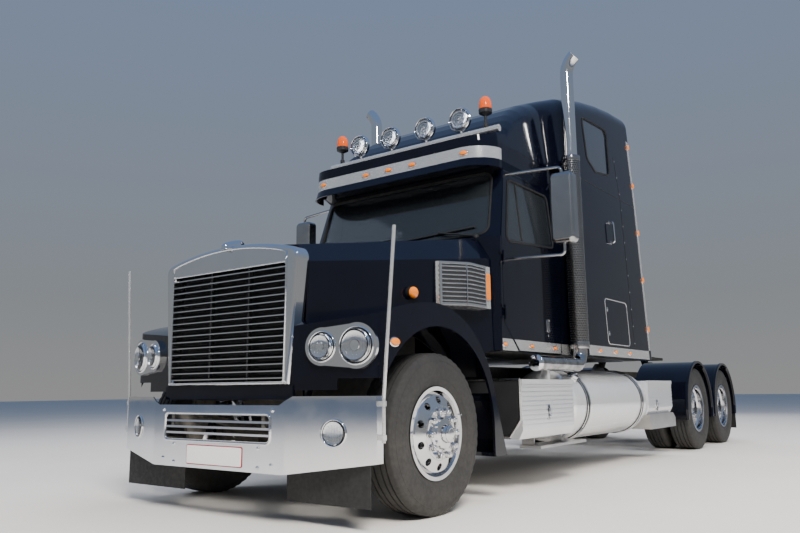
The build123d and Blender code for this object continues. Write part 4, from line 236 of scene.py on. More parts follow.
class Form:             # collects primitives and becomes one piece
    def __init__(self):
        self.verts, self.faces, self.slots = [], [], []

    def addRaw(self, verts, faces, slot=0):
        start = len(self.verts)
        self.verts += [tuple(v) for v in verts]
        self.faces += [tuple(start + i for i in face) for face in faces]
        self.slots += [slot] * len(faces)

    def addBox(self, centre, size, turn=None, slot=0):
        turn = turn or Matrix.Identity(3)
        ends = [Vector(((i & 1) - 0.5, (i >> 1 & 1) - 0.5, (i >> 2 & 1) - 0.5)) for i in range(8)]
        verts = [Vector(centre) + turn @ Vector((c.x * size[0], c.y * size[1], c.z * size[2])) for c in ends]
        self.addRaw(verts,
                    [(0, 2, 3, 1), (4, 5, 7, 6), (0, 1, 5, 4), (2, 6, 7, 3), (0, 4, 6, 2), (1, 3, 7, 5)],
                    slot)

    def addLathe(self, profile, centre, axis, steps=32, slot=0, closed=False):
        # profile rows: distance along the axis, radius; the ends close onto the axis at radius 0
        axis = Vector(axis).normalized()
        side = axis.orthogonal().normalized()
        other = axis.cross(side)
        rings, verts, faces = [], [], []
        for along, radius in profile:
            spot = Vector(centre) + axis * along
            if radius < 1e-6:
                rings.append([len(verts)] * steps)
                verts.append(spot)
                continue
            rings.append(list(range(len(verts), len(verts) + steps)))
            verts += [spot + (side * c + other * s) * radius for c, s in circle(steps)]
        for low, high in list(zip(rings[:-1], rings[1:])) + ([(rings[-1], rings[0])] if closed else []):
            for i in range(steps):
                j = (i + 1) % steps
                face = list(dict.fromkeys((low[i], low[j], high[j], high[i])))
                if len(face) > 2:
                    faces.append(face)
        self.addRaw(verts, faces, slot)

    def addTube(self, points, radius, steps=12, slot=0, closed=False):
        points = [Vector(p) for p in points]
        count, verts, side = len(points), [], None
        for i, spot in enumerate(points):
            before = points[(i - 1) % count] if (closed or i) else spot
            after = points[(i + 1) % count] if (closed or i < count - 1) else spot
            along = (after - before).normalized()
            side = (along.orthogonal() if side is None else side - along * side.dot(along)).normalized()
            other = along.cross(side)
            verts += [spot + (side * c + other * s) * radius for c, s in circle(steps)]
        faces = bandFaces(count, steps, closed)
        if not closed:
            faces += [tuple(reversed(range(steps))), tuple(range((count - 1) * steps, count * steps))]
        self.addRaw(verts, faces, slot)

    def addPrism(self, outline, depth, slot=0):
        # outline: points of a flat polygon; depth: the vector it is pushed along
        outline = [Vector(p) for p in outline]
        count = len(outline)
        verts = outline + [p + Vector(depth) for p in outline]
        faces = [tuple(reversed(range(count))), tuple(range(count, 2 * count))] + bandFaces(2, count)
        self.addRaw(verts, faces, slot)

    def make(self, name, keys, body, bevel=0.0, sharp=38):
        mesh = bpy.data.meshes.new(name)
        mesh.from_pydata([tuple(v) for v in self.verts], [], self.faces)
        for key in keys:
            mesh.materials.append(materials[key])
        mesh.polygons.foreach_set("material_index", self.slots)
        work = bmesh.new()
        work.from_mesh(mesh)
        bmesh.ops.recalc_face_normals(work, faces=work.faces)
        work.to_mesh(mesh)
        work.free()
        mesh.shade_smooth()
        mesh.set_sharp_from_angle(angle=math.radians(sharp))
        piece = bpy.data.objects.new(name, mesh)
        bpy.context.scene.collection.objects.link(piece)
        if bevel:
            edge = piece.modifiers.new("edge", "BEVEL")
            edge.width, edge.segments, edge.limit_method = bevel, 2, "ANGLE"
            edge.angle_limit = math.radians(sharp)
            edge.harden_normals = True
        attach(piece, body)
        return piece


def roundCorner(before, spot, after, radius, steps):
    toBefore, toAfter = (before - spot).normalized(), (after - spot).normalized()
    half = toBefore.angle(toAfter) / 2
    reach = radius / math.tan(half)
    centre = spot + (toBefore + toAfter).normalized() * radius / math.sin(half)
    start, end = spot + toBefore * reach - centre, spot + toAfter * reach - centre
    return [centre + start.lerp(end, k / steps).normalized() * radius for k in range(steps + 1)]


def roundOutline(points, radius, steps=5):
    # a flat polygon with its corners rounded
    points = [Vector(p) for p in points]
    result = []
    for i, spot in enumerate(points):
        result += roundCorner(points[i - 1], spot, points[(i + 1) % len(points)], radius, steps)
    return result


def smoothRoute(points, radius, steps=6):
    # an open route with its corners rounded
    points = [Vector(p) for p in points]
    result = [points[0]]
    for i in range(1, len(points) - 1):
        result += roundCorner(points[i - 1], points[i], points[i + 1], radius, steps)
    return result + [points[-1]]


surfaces = {}


def touch(node, origin, direction):
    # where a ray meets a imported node, and the way its surface faces there
    if node not in surfaces:
        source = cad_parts[node]
        surfaces[node] = BVHTree.FromPolygons([source.matrix_world @ v.co for v in source.data.vertices],
                                              [tuple(p.vertices) for p in source.data.polygons])
    spot, facing, _, _ = surfaces[node].ray_cast(Vector(origin), Vector(direction).normalized())
    if spot is None:
        raise RuntimeError("nothing of " + node + " lies on that line")
    return spot, (facing if facing.dot(Vector(direction)) < 0 else -facing)


def wallNode(z):
    return "sleeper_shell" if z < truck["roofFoot"] else "roof_cap"


def onSide(node, side, y, z):
    return touch(node, (side * 2.5, y, z), (-side, 0, 0))


def onFront(node, x, z):
    return touch(node, (x, -6.0, z), (0, 1, 0))


def onBack(x, z):
    return touch(wallNode(z), (x, 5.0, z), (0, -1, 0))


def facingTurn(facing):
    # turns local Z to face outwards and keeps local Y as near upright as it can be
    facing = facing.normalized()
    across = Vector((0, 0, 1)).cross(facing)
    across = across.normalized() if across.length > 1e-3 else Vector((1, 0, 0))
    upright = facing.cross(across)
    return Matrix((across, upright, facing)).transposed()


def padOutline(spot, facing, wide, tall, radius, lift):
    turn = facingTurn(facing)
    flat = roundOutline([(a, b, lift) for a, b in corners(-wide / 2, -tall / 2, wide / 2, tall / 2)], radius)
    return [spot + turn @ p for p in flat]


def grown(outline, amount):
    middle = sum((Vector((0, a, b)) for a, b in outline), Vector()) / len(outline)
    return [(a + math.copysign(amount, a - middle.y), b + math.copysign(amount, b - middle.z)) for a,
            b in outline]


def addSideRing(form, node, side, outline, radius, tube, steps=8, slot=0):
    # a bead round a rounded outline, laid on a node's side
    ring = roundOutline([(0, y, z) for y, z in outline], radius, 6)
    form.addTube([onSide(node, side, p.y, p.z)[0] for p in ring], tube, steps, slot, closed=True)


def addGrab(form, foot, head, out, bend, radius):
    form.addTube(smoothRoute([foot, foot + out, head + out, head], bend), radius, 12)


# Camera, floor and light
cameraPlace = dict(spot=(3.853, -7.624, 0.801), yaw=36.502, pitch=9.554, roll=-0.58, lens=32.81, sensor=36.0)


def makeCamera(place):
    data = bpy.data.cameras.new("camera")
    data.lens, data.sensor_width, data.sensor_fit = place["lens"], place["sensor"], "HORIZONTAL"
    yaw, pitch, roll = (math.radians(place[key]) for key in ("yaw", "pitch", "roll"))
    ahead = Vector((-math.sin(yaw) * math.cos(pitch), math.cos(yaw) * math.cos(pitch), math.sin(pitch)))
    right = Vector((math.cos(yaw), math.sin(yaw), 0))
    up = right.cross(ahead)
    rolledRight = right * math.cos(roll) + up * math.sin(roll)
    rolledUp = up * math.cos(roll) - right * math.sin(roll)
    turn = Matrix((rolledRight, rolledUp, -ahead)).transposed().to_4x4()
    camera = bpy.data.objects.new("camera", data)
    camera.matrix_world = Matrix.Translation(place["spot"]) @ turn
    bpy.context.scene.collection.objects.link(camera)
    bpy.context.scene.camera = camera


def makeFloor():
    mesh = bpy.data.meshes.new("floor")
    reach = 70.0
    mesh.from_pydata([(x, y, 0) for x, y in corners(-reach, -reach, reach, reach)], [], [(0, 1, 2, 3)])
    material = makeMaterial(dict(name="paleFloor", colour=(0.62, 0.585, 0.54), colour2=(0.66, 0.625, 0.58),
                                 roughness=(0.75, 0.9), blotchScale=0.5, grainScale=30.0, specular=0.1))
    mesh.materials.append(material)
    floor = bpy.data.objects.new("floor", mesh)
    bpy.context.scene.collection.objects.link(floor)


lamps = [               # place, aims at, width, height, power, colour; the small first one gives the glints
    ((7.0, -9.5, 8.0), (0.0, -1.5, 1.2), 0.9, 0.9, 260.0, (1.0, 0.97, 0.92)),
    ((7.5, -9.0, 9.0), (0.0, -1.5, 1.2), 4.0, 4.0, 2900.0, (1.0, 0.97, 0.92)),
    ((-9.0, -7.0, 7.0), (0.0, 0.0, 1.5), 6.0, 4.0, 500.0, (0.90, 0.94, 1.0)),
    ((2.0, 1.0, 12.0), (0.0, 0.5, 0.0), 7.0, 10.0, 1200.0, (0.95, 0.97, 1.0)),
    ((9.0, 6.0, 6.0), (0.0, 1.0, 1.0), 4.0, 5.0, 500.0, (1.0, 0.98, 0.95)),
    ((-4.0, 13.0, 7.0), (0.0, 2.0, 1.5), 6.0, 4.0, 500.0, (0.95, 0.97, 1.0)),
]
worldLook = dict(ramp=[(0.0, (0.30, 0.30, 0.30)), (0.12, (0.25, 0.27, 0.29)), (0.75, (0.17, 0.26, 0.46))],
                 strength=0.95)


def makeLights():
    for index, (spot, aim, width, height, power, colour) in enumerate(lamps):
        data = bpy.data.lights.new("softLight%d" % index, "AREA")
        data.shape, data.size, data.size_y = "RECTANGLE", width, height
        data.energy, data.color = power, colour
        light = bpy.data.objects.new(data.name, data)
        light.visible_glossy = index == 0                # large lamps leave no hard patches in paint and chrome
        light.location = spot
        light.rotation_euler = (Vector(aim) - Vector(spot)).to_track_quat("-Z", "Y").to_euler()
        bpy.context.scene.collection.objects.link(light)
    world = bpy.data.worlds.new("studio")
    bpy.context.scene.world = world
    world.use_nodes = True
    tree = world.node_tree
    coords = tree.nodes.new("ShaderNodeTexCoord")
    split = tree.nodes.new("ShaderNodeSeparateXYZ")
    ramp = tree.nodes.new("ShaderNodeValToRGB")
    tree.links.new(coords.outputs["Generated"], split.inputs["Vector"])
    tree.links.new(split.outputs["Z"], ramp.inputs["Fac"])
    ramp.color_ramp.elements.new(worldLook["ramp"][1][0])
    for stop, (position, colour) in zip(ramp.color_ramp.elements, worldLook["ramp"]):
        stop.position, stop.color = position, (*colour, 1)
    tree.links.new(ramp.outputs["Color"], tree.nodes["Background"].inputs["Color"])
    tree.nodes["Background"].inputs["Strength"].default_value = worldLook["strength"]


makeCamera(cameraPlace)
makeFloor()
makeLights()
print("camera, floor and light set")

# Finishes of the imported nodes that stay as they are
finishes = dict(
    frame="frame_rails crossmembers nose_brackets rear_bar fifth_wheel_base",
    cast="engine_block driveline front_axle_beam suspension fifth_wheel_plate knuckle_left knuckle_right",
    core="radiator",
    chrome="bumper grille_surround grille_bars headlights",
    reflector="fog_lamps driving_lamps",
    stainless="guide_poles side_intakes visor_band light_bar stack_shields",
    rubber="mudflaps tank_straps",
    paint="hood_shell cab_shell door_left door_right sleeper_shell roof_cap sun_visor rear_fenders",
    glass="windshield door_window_left door_window_right",
    darkGlass="sleeper_windows",
    steel="mirror_left mirror_right",
    beacon="beacons",
    stackChrome="exhaust_pipes",
    aluminium="fuel_tanks side_boxes",
    tread="cab_steps",
    red="tail_lamps",
    tyre="tyre_front_left tyre_front_right tyres_fore_left tyres_fore_right tyres_aft_left tyres_aft_right",
    rim="rim_front_left rim_front_right rims_fore_left rims_fore_right rims_aft_left rims_aft_right",
    trim="dashboard",
    cloth="seats",
)


def finishNodes():
    for key, nodes in finishes.items():
        for node in nodes.split():
            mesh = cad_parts[node].data
            mesh.materials.clear()
            mesh.materials.append(materials[key])

# Tyres: ribbed tread with shoulder notches, side wall rings. Half profile: out from the middle, radius
tyreLook = dict(
    half=[(0.0, 0.518), (0.020, 0.5178), (0.021, 0.504), (0.031, 0.504), (0.032, 0.5175), (0.062, 0.5172),
          (0.063, 0.504), (0.073, 0.504), (0.074, 0.5168), (0.106, 0.5158), (0.1135, 0.5125),
          (0.1185, 0.5070),
          (0.1230, 0.4980), (0.1250, 0.4960), (0.1275, 0.4860), (0.1325, 0.4690), (0.1345, 0.4680),
          (0.1345, 0.4640),
          (0.1335, 0.4630), (0.1375, 0.4430), (0.1392, 0.4200), (0.1395, 0.3990), (0.1380, 0.3780),
          (0.1340, 0.3560),
          (0.1330, 0.3540), (0.1330, 0.3500), (0.1310, 0.3490), (0.1240, 0.3300), (0.1175, 0.3170),
          (0.1120, 0.3060),
          (0.1045, 0.3010), (0.1045, 0.2860)],
    steps=150, notchFrom=9, notchTo=13, notchDepth=0.006, notchEvery=3,
)


def addTyre(form, middle, axleY):
    look = tyreLook
    rows = [(-x, r) for x, r in reversed(look["half"][1:])] + look["half"]
    last = len(look["half"]) - 1
    verts = []
    for index, (x, r) in enumerate(rows):
        inShoulder = look["notchFrom"] <= abs(index - last) <= look["notchTo"]
        for i, (c, s) in enumerate(circle(look["steps"])):
            reach = r - (look["notchDepth"] if inShoulder and i % look["notchEvery"] == 0 else 0.0)
            verts.append((middle + x, axleY + reach * c, truck["axleHeight"] + reach * s))
    form.addRaw(verts, bandFaces(len(rows), look["steps"], closed=True))


wheelSets = [           # packed tyre node, body, middles of its tyres, axle's place
    ("tyre_front_left", "wheel_front_left", (1.045,), truck["frontAxle"]),
    ("tyre_front_right", "wheel_front_right", (-1.045,), truck["frontAxle"]),
    ("tyres_fore_left", "wheels_fore_left", (1.074, 0.739), truck["rearAxles"][0]),
    ("tyres_fore_right", "wheels_fore_right", (-1.074, -0.739), truck["rearAxles"][0]),
    ("tyres_aft_left", "wheels_aft_left", (1.074, 0.739), truck["rearAxles"][1]),
    ("tyres_aft_right", "wheels_aft_right", (-1.074, -0.739), truck["rearAxles"][1]),
]


def makeTyres():
    for node, body, middles, axleY in wheelSets:
        form = Form()
        for middle in middles:
            addTyre(form, middle, axleY)
        piece = form.make("tread_" + node, ["tyre"], body, sharp=25)
        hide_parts(node)

# Wheel nuts, hub covers and valves; profile rows: distance outwards, radius
hubLook = dict(
    count=10, circle=0.142, frontFace=1.1955, rearFace=0.929,
    nut=[([(0.0, 0.0), (0.0, 0.025), (0.003, 0.025), (0.0045, 0.022)], 20),
         ([(0.003, 0.0205), (0.030, 0.0205)], 6),
         ([(0.030, 0.0195), (0.036, 0.0170), (0.042, 0.0100), (0.0435, 0.0)], 14)],
    lip=(0.1755, 0.1745, 0.0012), valveReach=0.235, valveTurn=0.5, valveSet=0.004,
    valve=[(0.0, 0.006), (0.026, 0.006), (0.030, 0.004), (0.030, 0.0)],
    front=[(1.2000, 0.1190), (1.2015, 0.1190), (1.2075, 0.1035), (1.2225, 0.0955), (1.2275, 0.0720),
           (1.2300, 0.0620),
           (1.2480, 0.0585), (1.2620, 0.0510), (1.2710, 0.0360), (1.2745, 0.0180), (1.2750, 0.0)],
    rear=[(1.0250, 0.1135), (1.0270, 0.1135), (1.0380, 0.0930), (1.0980, 0.0870), (1.1120, 0.0740),
          (1.1205, 0.0610),
          (1.1225, 0.0300), (1.1225, 0.0)],
)


def makeHubs():
    look = hubLook
    for _, body, middles, axleY in wheelSets:
        side = 1 if middles[0] > 0 else -1
        end = "front" if len(middles) == 1 else "rear"
        face = look[end + "Face"]
        out = Vector((side, 0, 0))
        form = Form()
        for c, s in circle(look["count"]):
            spot = (side * face, axleY + look["circle"] * c, truck["axleHeight"] + look["circle"] * s)
            for profile, steps in look["nut"]:
                form.addLathe(profile, spot, out, steps)
        axle = Vector((0, axleY, truck["axleHeight"]))
        form.addLathe(look[end], axle, out, 40)
        outer, inner, thick = look["lip"]
        form.addLathe([(face, outer), (face + thick, outer), (face + thick, inner)], axle, out, 48)
        reach, turn = look["valveReach"], look["valveTurn"]
        valve = axle + Vector((side * (face - look["valveSet"]), reach * math.cos(turn),
                               reach * math.sin(turn)))
        form.addLathe(look["valve"], valve, out, 10)
        form.make("hub_" + body, ["rim"], body, sharp=30)

# Grille: polished head plate with a bead round it, dark screen behind the louvers
grilleLook = dict(face=-4.400, headLow=1.612, headHalf=0.566, cornerDrop=0.006, crown=1.742, crownFall=0.070,
                  low=0.856, halfLow=0.556, high=1.602, halfHigh=0.566, topSteps=24, beadRadius=0.006,
                  beadProud=0.001, beadOut=0.008, screenY=-4.322, rows=46, columns=70, wire=0.003)


def makeGrille():
    look = grilleLook
    y, half, steps = look["face"], look["headHalf"], look["topSteps"]
    low, high, halfLow, halfHigh = look["low"], look["high"], look["halfLow"], look["halfHigh"]
    top = [-half + 2 * half * k / steps for k in range(steps + 1)]
    outline = [Vector((x, 0, look["crown"] - (x / half) ** 2 * look["crownFall"])) for x in top]
    for end in (0, steps):
        outline[end].z -= look["cornerDrop"]
    form = Form()
    lowEnds = [Vector((half, 0, look["headLow"])), Vector((-half, 0, look["headLow"]))]
    form.addPrism([p + Vector((0, y + 0.002, 0)) for p in outline + lowEnds], (0, -0.004, 0))
    form.make("grilleHeadPlate", ["chrome"], "hood", bevel=0.0015)
    bead = Form()
    y, out = y - look["beadProud"], look["beadOut"]
    route = [Vector((p.x * 1.012, y, p.z + 0.006)) for p in outline]
    route += [(halfHigh + out, y, high), (halfLow + out, y, low - out), (-halfLow - out, y, low - out),
              (-halfHigh - out, y, high)]
    bead.addTube(route, look["beadRadius"], 10, closed=True)
    bead.addTube([(-halfHigh, y, high + 0.006), (halfHigh, y, high + 0.006)], 0.004, 8)
    bead.make("grilleBead", ["chrome"], "hood", sharp=60)
    screen = Form()
    y, middle, tall, wire = look["screenY"], (low + high) / 2, high - low, look["wire"]
    for k in range(look["rows"]):
        screen.addBox((0, y, low + (k + 0.5) * tall / look["rows"]), (2 * halfLow - 0.01, 0.004, wire))
    for k in range(look["columns"]):
        x = -halfLow + 0.012 + k * (2 * halfLow - 0.024) / (look["columns"] - 1)
        screen.addBox((x, y + 0.003, middle), (wire, wire, tall - 0.01))
    screen.addBox((0, y + 0.014, middle), (2 * halfLow, 0.004, tall))
    screen.make("grilleScreen", ["plastic"], "hood")

# Headlights: gasket ring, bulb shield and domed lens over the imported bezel
headLook = dict(middleX=0.9475, y=-4.378 + 0.222 * 0.3375, z=1.060, slope=0.2222, half=0.1173, bezel=0.026,
                lamps=((-1, 0.082), (1, 0.103)), dome=0.034, domeOver=0.002, lift=0.001,
                shield=[(0.0205, 0.0), (0.0205, 0.30), (0.0165, 0.33)], ribs=9, ribSpread=4.6, ribOut=0.74,
                ribLong=1.3, ribDepth=0.0168, ribWide=0.0022, ribThick=0.0016)


def lampFace(side):
    look = headLook
    facing = Vector((side * look["slope"], -1, 0)).normalized()
    across = Vector((1, side * look["slope"], 0)).normalized()
    middle = Vector((side * look["middleX"], look["y"], look["z"]))
    return middle, across, facing


def addLens(glass, bright, dark, spot, facing, radius, depth, flutes=0):
    # a domed lens with a bright rim ring and a dark gasket; flutes are shallow upright ribs
    glass.addLathe([(0.0, radius), (depth * 0.45, radius * 0.93), (depth * 0.80, radius * 0.70),
                    (depth * 0.95, radius * 0.38), (depth, 0.0)], spot, facing, 40)
    bright.addLathe([(-0.002, radius + 0.001), (0.004, radius + 0.003), (0.006, radius + 0.007),
                     (0.003, radius + 0.012), (-0.003, radius + 0.013)], spot, facing, 44)
    dark.addLathe([(-0.004, radius - 0.002), (0.0045, radius + 0.001), (0.0025, radius + 0.004)],
                  spot, facing, 40)
    turn = facingTurn(facing)
    for k in range(flutes):
        x = (k + 0.5) / flutes * 2 - 1
        length = math.sqrt(max(0.0, 1 - x * x)) * radius * 1.35
        bow = depth * (1 - x * x * 0.55) * 0.62
        glass.addBox(spot + turn @ Vector((x * radius * 0.86, 0, bow)),
                     (radius * 1.1 / flutes, length, 0.003), turn)


def makeLensPieces(prefix, glass, bright, dark, body):
    glass.make(prefix + "Lenses", ["lens"], body, sharp=50)
    bright.make(prefix + "Rims", ["reflector"], body, sharp=50)
    dark.make(prefix + "Gaskets", ["rubber"], body, sharp=50)


def makeHeadlights():
    look = headLook
    glass, bright, dark = Form(), Form(), Form()
    for side in sides:
        middle, across, facing = lampFace(side)
        turn = facingTurn(facing)
        for place, radius in look["lamps"]:
            spot = middle + across * side * place * look["half"] + facing * (look["bezel"] + look["lift"])
            addLens(glass, bright, dark, spot, facing, radius + look["domeOver"], look["dome"])
            bright.addLathe([(along, radius * share) for along, share in look["shield"]], spot, facing, 24)
            for k in range(look["ribs"]):
                x = (k - look["ribs"] // 2) / look["ribSpread"]
                length = math.sqrt(1 - x * x) * radius * look["ribLong"]
                place = Vector((x * radius * look["ribOut"], 0, look["ribDepth"]))
                bright.addBox(spot + turn @ place, (look["ribWide"], length, look["ribThick"]), turn)
    makeLensPieces("headlight", glass, bright, dark, "hood")


# Ovals: marker lamps and the ornament
def addOval(form, spot, facing, wide, high, depth, slot=0, steps=26):
    turn = facingTurn(facing)
    spot = Vector(spot)
    rows = [(1.0, -0.002), (1.0, 0.25 * depth), (0.93, 0.62 * depth), (0.72, 0.88 * depth),
            (0.38, 0.98 * depth)]
    verts = []
    for share, rise in rows:
        verts += [spot + turn @ Vector((wide * share * c, high * share * s, rise)) for c, s in circle(steps)]
    verts.append(spot + turn @ Vector((0, 0, depth)))
    top = (len(rows) - 1) * steps
    faces = bandFaces(len(rows), steps)
    faces += [(top + k, top + (k + 1) % steps, len(verts) - 1) for k in range(steps)]
    form.addRaw(verts, faces, slot)


def addMarker(form, spot, facing, wide, high):
    # amber lens in a bright oval seat: slot 0 is the seat, slot 1 the lens
    addOval(form, spot, facing, wide + 0.007, high + 0.007, 0.005, 0)
    addOval(form, Vector(spot) + facing * 0.002, facing, wide, high, 0.017, 1)
# Marker lamps on the visor band, the fenders, the hood, the lower strips and the sleeper's back edge
markers = dict(
    visor=[0.0, 0.262, 0.790], visorZ=2.752, visorSize=(0.036, 0.020), fender=(-4.100, 1.083),
    fenderSize=(0.044, 0.024), hood=(-3.416, 1.480),
    hoodSeat=[(-0.002, 0.046), (0.030, 0.046), (0.034, 0.043), (0.034, 0.040)],
    hoodDome=[(0.026, 0.042), (0.046, 0.041), (0.056, 0.030), (0.060, 0.0)],
    door=[-1.978, -1.518], fixed=[("cab_shell", -2.449), ("sleeper_shell", -0.820), ("sleeper_shell", -0.410),
                                  ("sleeper_shell", 0.0)],
    stripZ=1.146, stripSize=(0.030, 0.016), edgeY=0.668, edgeZ=[1.437, 2.001, 2.554, 3.123, 3.600],
    edgeSize=(0.017, 0.034), lift=0.003,
)


def addRaisedMarker(form, node, side, y, z, size):
    spot, facing = onSide(node, side, y, z)
    addMarker(form, spot + facing * markers["lift"], facing, *size)


def makeMarkers():
    look = markers
    front, hood, fixed = Form(), Form(), Form()
    for x in look["visor"]:
        for side in (sides if x else (1,)):
            addMarker(front, *onFront("visor_band", side * x, look["visorZ"]), *look["visorSize"])
    front.make("visorMarkers", ["chrome", "amber"], "root", sharp=50)
    for side in sides:
        addMarker(hood, *onSide("hood_shell", side, *look["fender"]), *look["fenderSize"])
        spot, facing = onSide("hood_shell", side, *look["hood"])
        hood.addLathe(look["hoodSeat"], spot, facing, 32, slot=2)
        hood.addLathe(look["hoodDome"], spot, facing, 32, slot=1)
    hood.make("hoodMarkers", ["chrome", "amber", "rubber"], "hood", sharp=50)
    for side in sides:
        for node, y in look["fixed"]:
            addRaisedMarker(fixed, node, side, y, look["stripZ"], look["stripSize"])
        for z in look["edgeZ"]:
            addRaisedMarker(fixed, wallNode(z), side, look["edgeY"], z, look["edgeSize"])
    fixed.make("sideMarkers", ["chrome", "amber"], "root", sharp=50)
    for side, name in namedSides:
        form = Form()
        for y in look["door"]:
            addRaisedMarker(form, "door_" + name, side, y, look["stripZ"], look["stripSize"])
        form.make("doorMarkers_" + name, ["chrome", "amber"], "cab_door_" + name, sharp=50)

# Stainless strips along the foot of cab, doors and sleeper, and up the sleeper's back edge
strips = dict(
    low=1.099, high=1.193, doorLow=1.105, thick=0.0025, sunk=0.001, edge=(0.640, 0.697), edgeLift=0.003,
    heights=[1.20 + 0.11 * k for k in range(15)] + [2.80, 2.852] + [2.870 + 0.10 * k for k in range(9)],
)


def addSideStrip(form, node, side, outline):
    # outline rows: place along the side, height; laid on the node's surface
    sunk = strips["sunk"]
    points = [onSide(node, side, y, z)[0] - Vector((side * sunk, 0, 0)) for y, z in outline]
    form.addPrism(points, (side * (strips["thick"] + sunk), 0, 0))


def makeStrips():
    look = strips
    low, high = look["low"], look["high"]
    fixed = Form()
    for side, name in namedSides:
        addSideStrip(fixed, "cab_shell", side, [(-2.478, low), (-2.216, low), (-2.312, high), (-2.478, high)])
        addSideStrip(fixed, "cab_shell", side, corners(-1.366, low, -1.166, high))
        addSideStrip(fixed, "sleeper_shell", side, corners(-1.080, low, 0.630, high))
        door, foot = Form(), look["doorLow"]
        addSideStrip(door, "door_" + name, side,
                     [(-2.186, foot), (-1.386, foot), (-1.386, high), (-2.276, high)])
        door.make("doorStrip_" + name, ["stainless"], "cab_door_" + name)
        lift = Vector((side * look["edgeLift"], 0, 0))
        verts = []
        for z in look["heights"]:
            fore, aft = (onSide(wallNode(z), side, y, z)[0] for y in look["edge"])
            verts += [fore - lift * 0.3, fore + lift, aft + lift, aft - lift * 0.3]
        end = len(verts) - 4
        fixed.addRaw(verts,
                     bandFaces(len(look["heights"]), 4) + [(0, 1, 2, 3), (end, end + 1, end + 2, end + 3)])
    fixed.make("sideStrips", ["stainless"], "root")

# Bumper: frame round its inlet, blank plate, round-head bolts, fog lamp lenses
bumperLook = dict(
    inlet=(0.505, 0.489, 0.647), frameOut=0.012, frameRound=0.030, frameTube=0.009,
    plate=(0.0, 0.391, 0.548, 0.128), bolts=[(0.536, 0.680), (0.530, 0.356), (0.412, 0.335), (0.415, 0.451)],
    bolt=[(-0.001, 0.013), (0.0015, 0.013), (0.005, 0.011), (0.0085, 0.006), (0.0095, 0.0)],
    fog=(0.955, 0.552, 0.070), lens=0.010,
)


def makeBumperTrim():
    look, y = bumperLook, truck["nose"]
    form, plate, glass, bright, dark = (Form() for _ in range(5))
    half, low, high = look["inlet"]
    out = look["frameOut"]
    frameRing = [(a, y, b) for a, b in corners(-half - out, low - out, half + out, high + out)]
    form.addTube(roundOutline(frameRing, look["frameRound"]), look["frameTube"], 10, closed=True)
    for x, z in look["bolts"]:
        for side in sides:
            form.addLathe(look["bolt"], (side * x, y, z), ahead, 18)
    form.make("bumperTrim", ["chrome"], "root", sharp=50)
    x, z, wide, tall = look["plate"]
    ends = corners(x - wide / 2, z - tall / 2, x + wide / 2, z + tall / 2)
    plate.addPrism(roundOutline([(a, y + 0.0005, b) for a, b in ends], 0.014), (0, -0.004, 0), slot=1)
    inner = roundOutline([(a * 0.978, y - 0.0034, (b - z) * 0.90 + z) for a, b in ends], 0.010)
    plate.addPrism(inner, (0, -0.0016, 0))
    plate.make("numberPlate", ["plate", "plateRim"], "root", bevel=0.0008)
    fogX, fogZ, radius = look["fog"]
    for side in sides:
        spot, facing = onFront("fog_lamps", side * fogX, fogZ)
        addLens(glass, bright, dark, spot + facing * 0.001, facing, radius, look["lens"], flutes=7)
        bright.addLathe([(0.0005, 0.0), (0.0005, radius * 0.9)], spot, facing, 30)
    makeLensPieces("fog", glass, bright, dark, "root")

# Driving lamps' lenses, and the beacons as orange domes on black stems
barLook = dict(lampY=-2.297, lampZ=3.182, lampX=(0.201, 0.583), radius=0.094, beaconX=0.832, beaconY=-2.253,
               stem=[(3.0613, 0.0), (3.0613, 0.0215), (3.091, 0.0215), (3.101, 0.012), (3.166, 0.012),
                     (3.186, 0.050),
                     (3.191, 0.058), (3.222, 0.061), (3.228, 0.058), (3.228, 0.0)],
               dome=[(3.2285, 0.0), (3.2285, 0.056), (3.234, 0.0575), (3.290, 0.0545), (3.318, 0.047),
                     (3.337, 0.032),
                     (3.346, 0.014), (3.3485, 0.0)])


def makeBarLamps():
    look, radius = barLook, barLook["radius"]
    form, glass, bright, dark = (Form() for _ in range(4))
    for x in look["lampX"]:
        for side in sides:
            spot = Vector((side * x, look["lampY"], look["lampZ"]))
            addLens(glass, bright, dark, spot, ahead, radius, 0.016, flutes=9)
            for share in (0.94, 0.66, 0.42):
                bright.addLathe([(0.0008, radius * share), (0.004, radius * (share - 0.05)),
                                 (0.0008, radius * (share - 0.10))], spot, ahead, 36)
            bright.addLathe([(0.0006, 0.0), (0.0006, radius)], spot, ahead, 36)
            bright.addLathe([(0.010, 0.0), (0.009, 0.014), (0.001, 0.020)], spot, ahead, 20)
    makeLensPieces("driving", glass, bright, dark, "root")
    for side in sides:
        foot = Vector((side * look["beaconX"], look["beaconY"], 0))
        form.addLathe(look["stem"], foot, (0, 0, 1), 32, slot=1)
        form.addLathe(look["dome"], foot, (0, 0, 1), 40, slot=0)
    piece = form.make("beaconDomes", ["beacon", "plastic"], "root", sharp=40)
    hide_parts("beacons")

# Gaskets round windscreen, side windows and sleeper windows, window dividers, wipers
glassLook = dict(
    screen=[(-0.935, 2.068), (0.935, 2.068), (0.898, 2.612), (-0.898, 2.612)], screenRound=0.075,
    pane=[(-2.350, 2.010), (-1.450, 2.085), (-1.450, 2.562), (-2.188, 2.562)], paneRound=0.05,
    high=[(-0.700, 3.560), (-0.670, 3.130), (-0.470, 3.030), (-0.080, 3.090), (-0.020, 3.610)],
    highRound=0.072,
    grow=0.010, pieceLength=0.12, divider=(-2.060, 2.045, 2.550), wipers=((0.12, 0.82), (-0.72, -0.06)),
    wiperSteps=6, wiperZ=2.098, wiperRise=0.030, wiperOff=0.012, pivotAside=0.03, pivotZ=2.035,
    pivotOut=0.030,
    pivotCap=[(0.0, 0.022), (0.026, 0.020), (0.034, 0.012), (0.036, 0.0)],
)


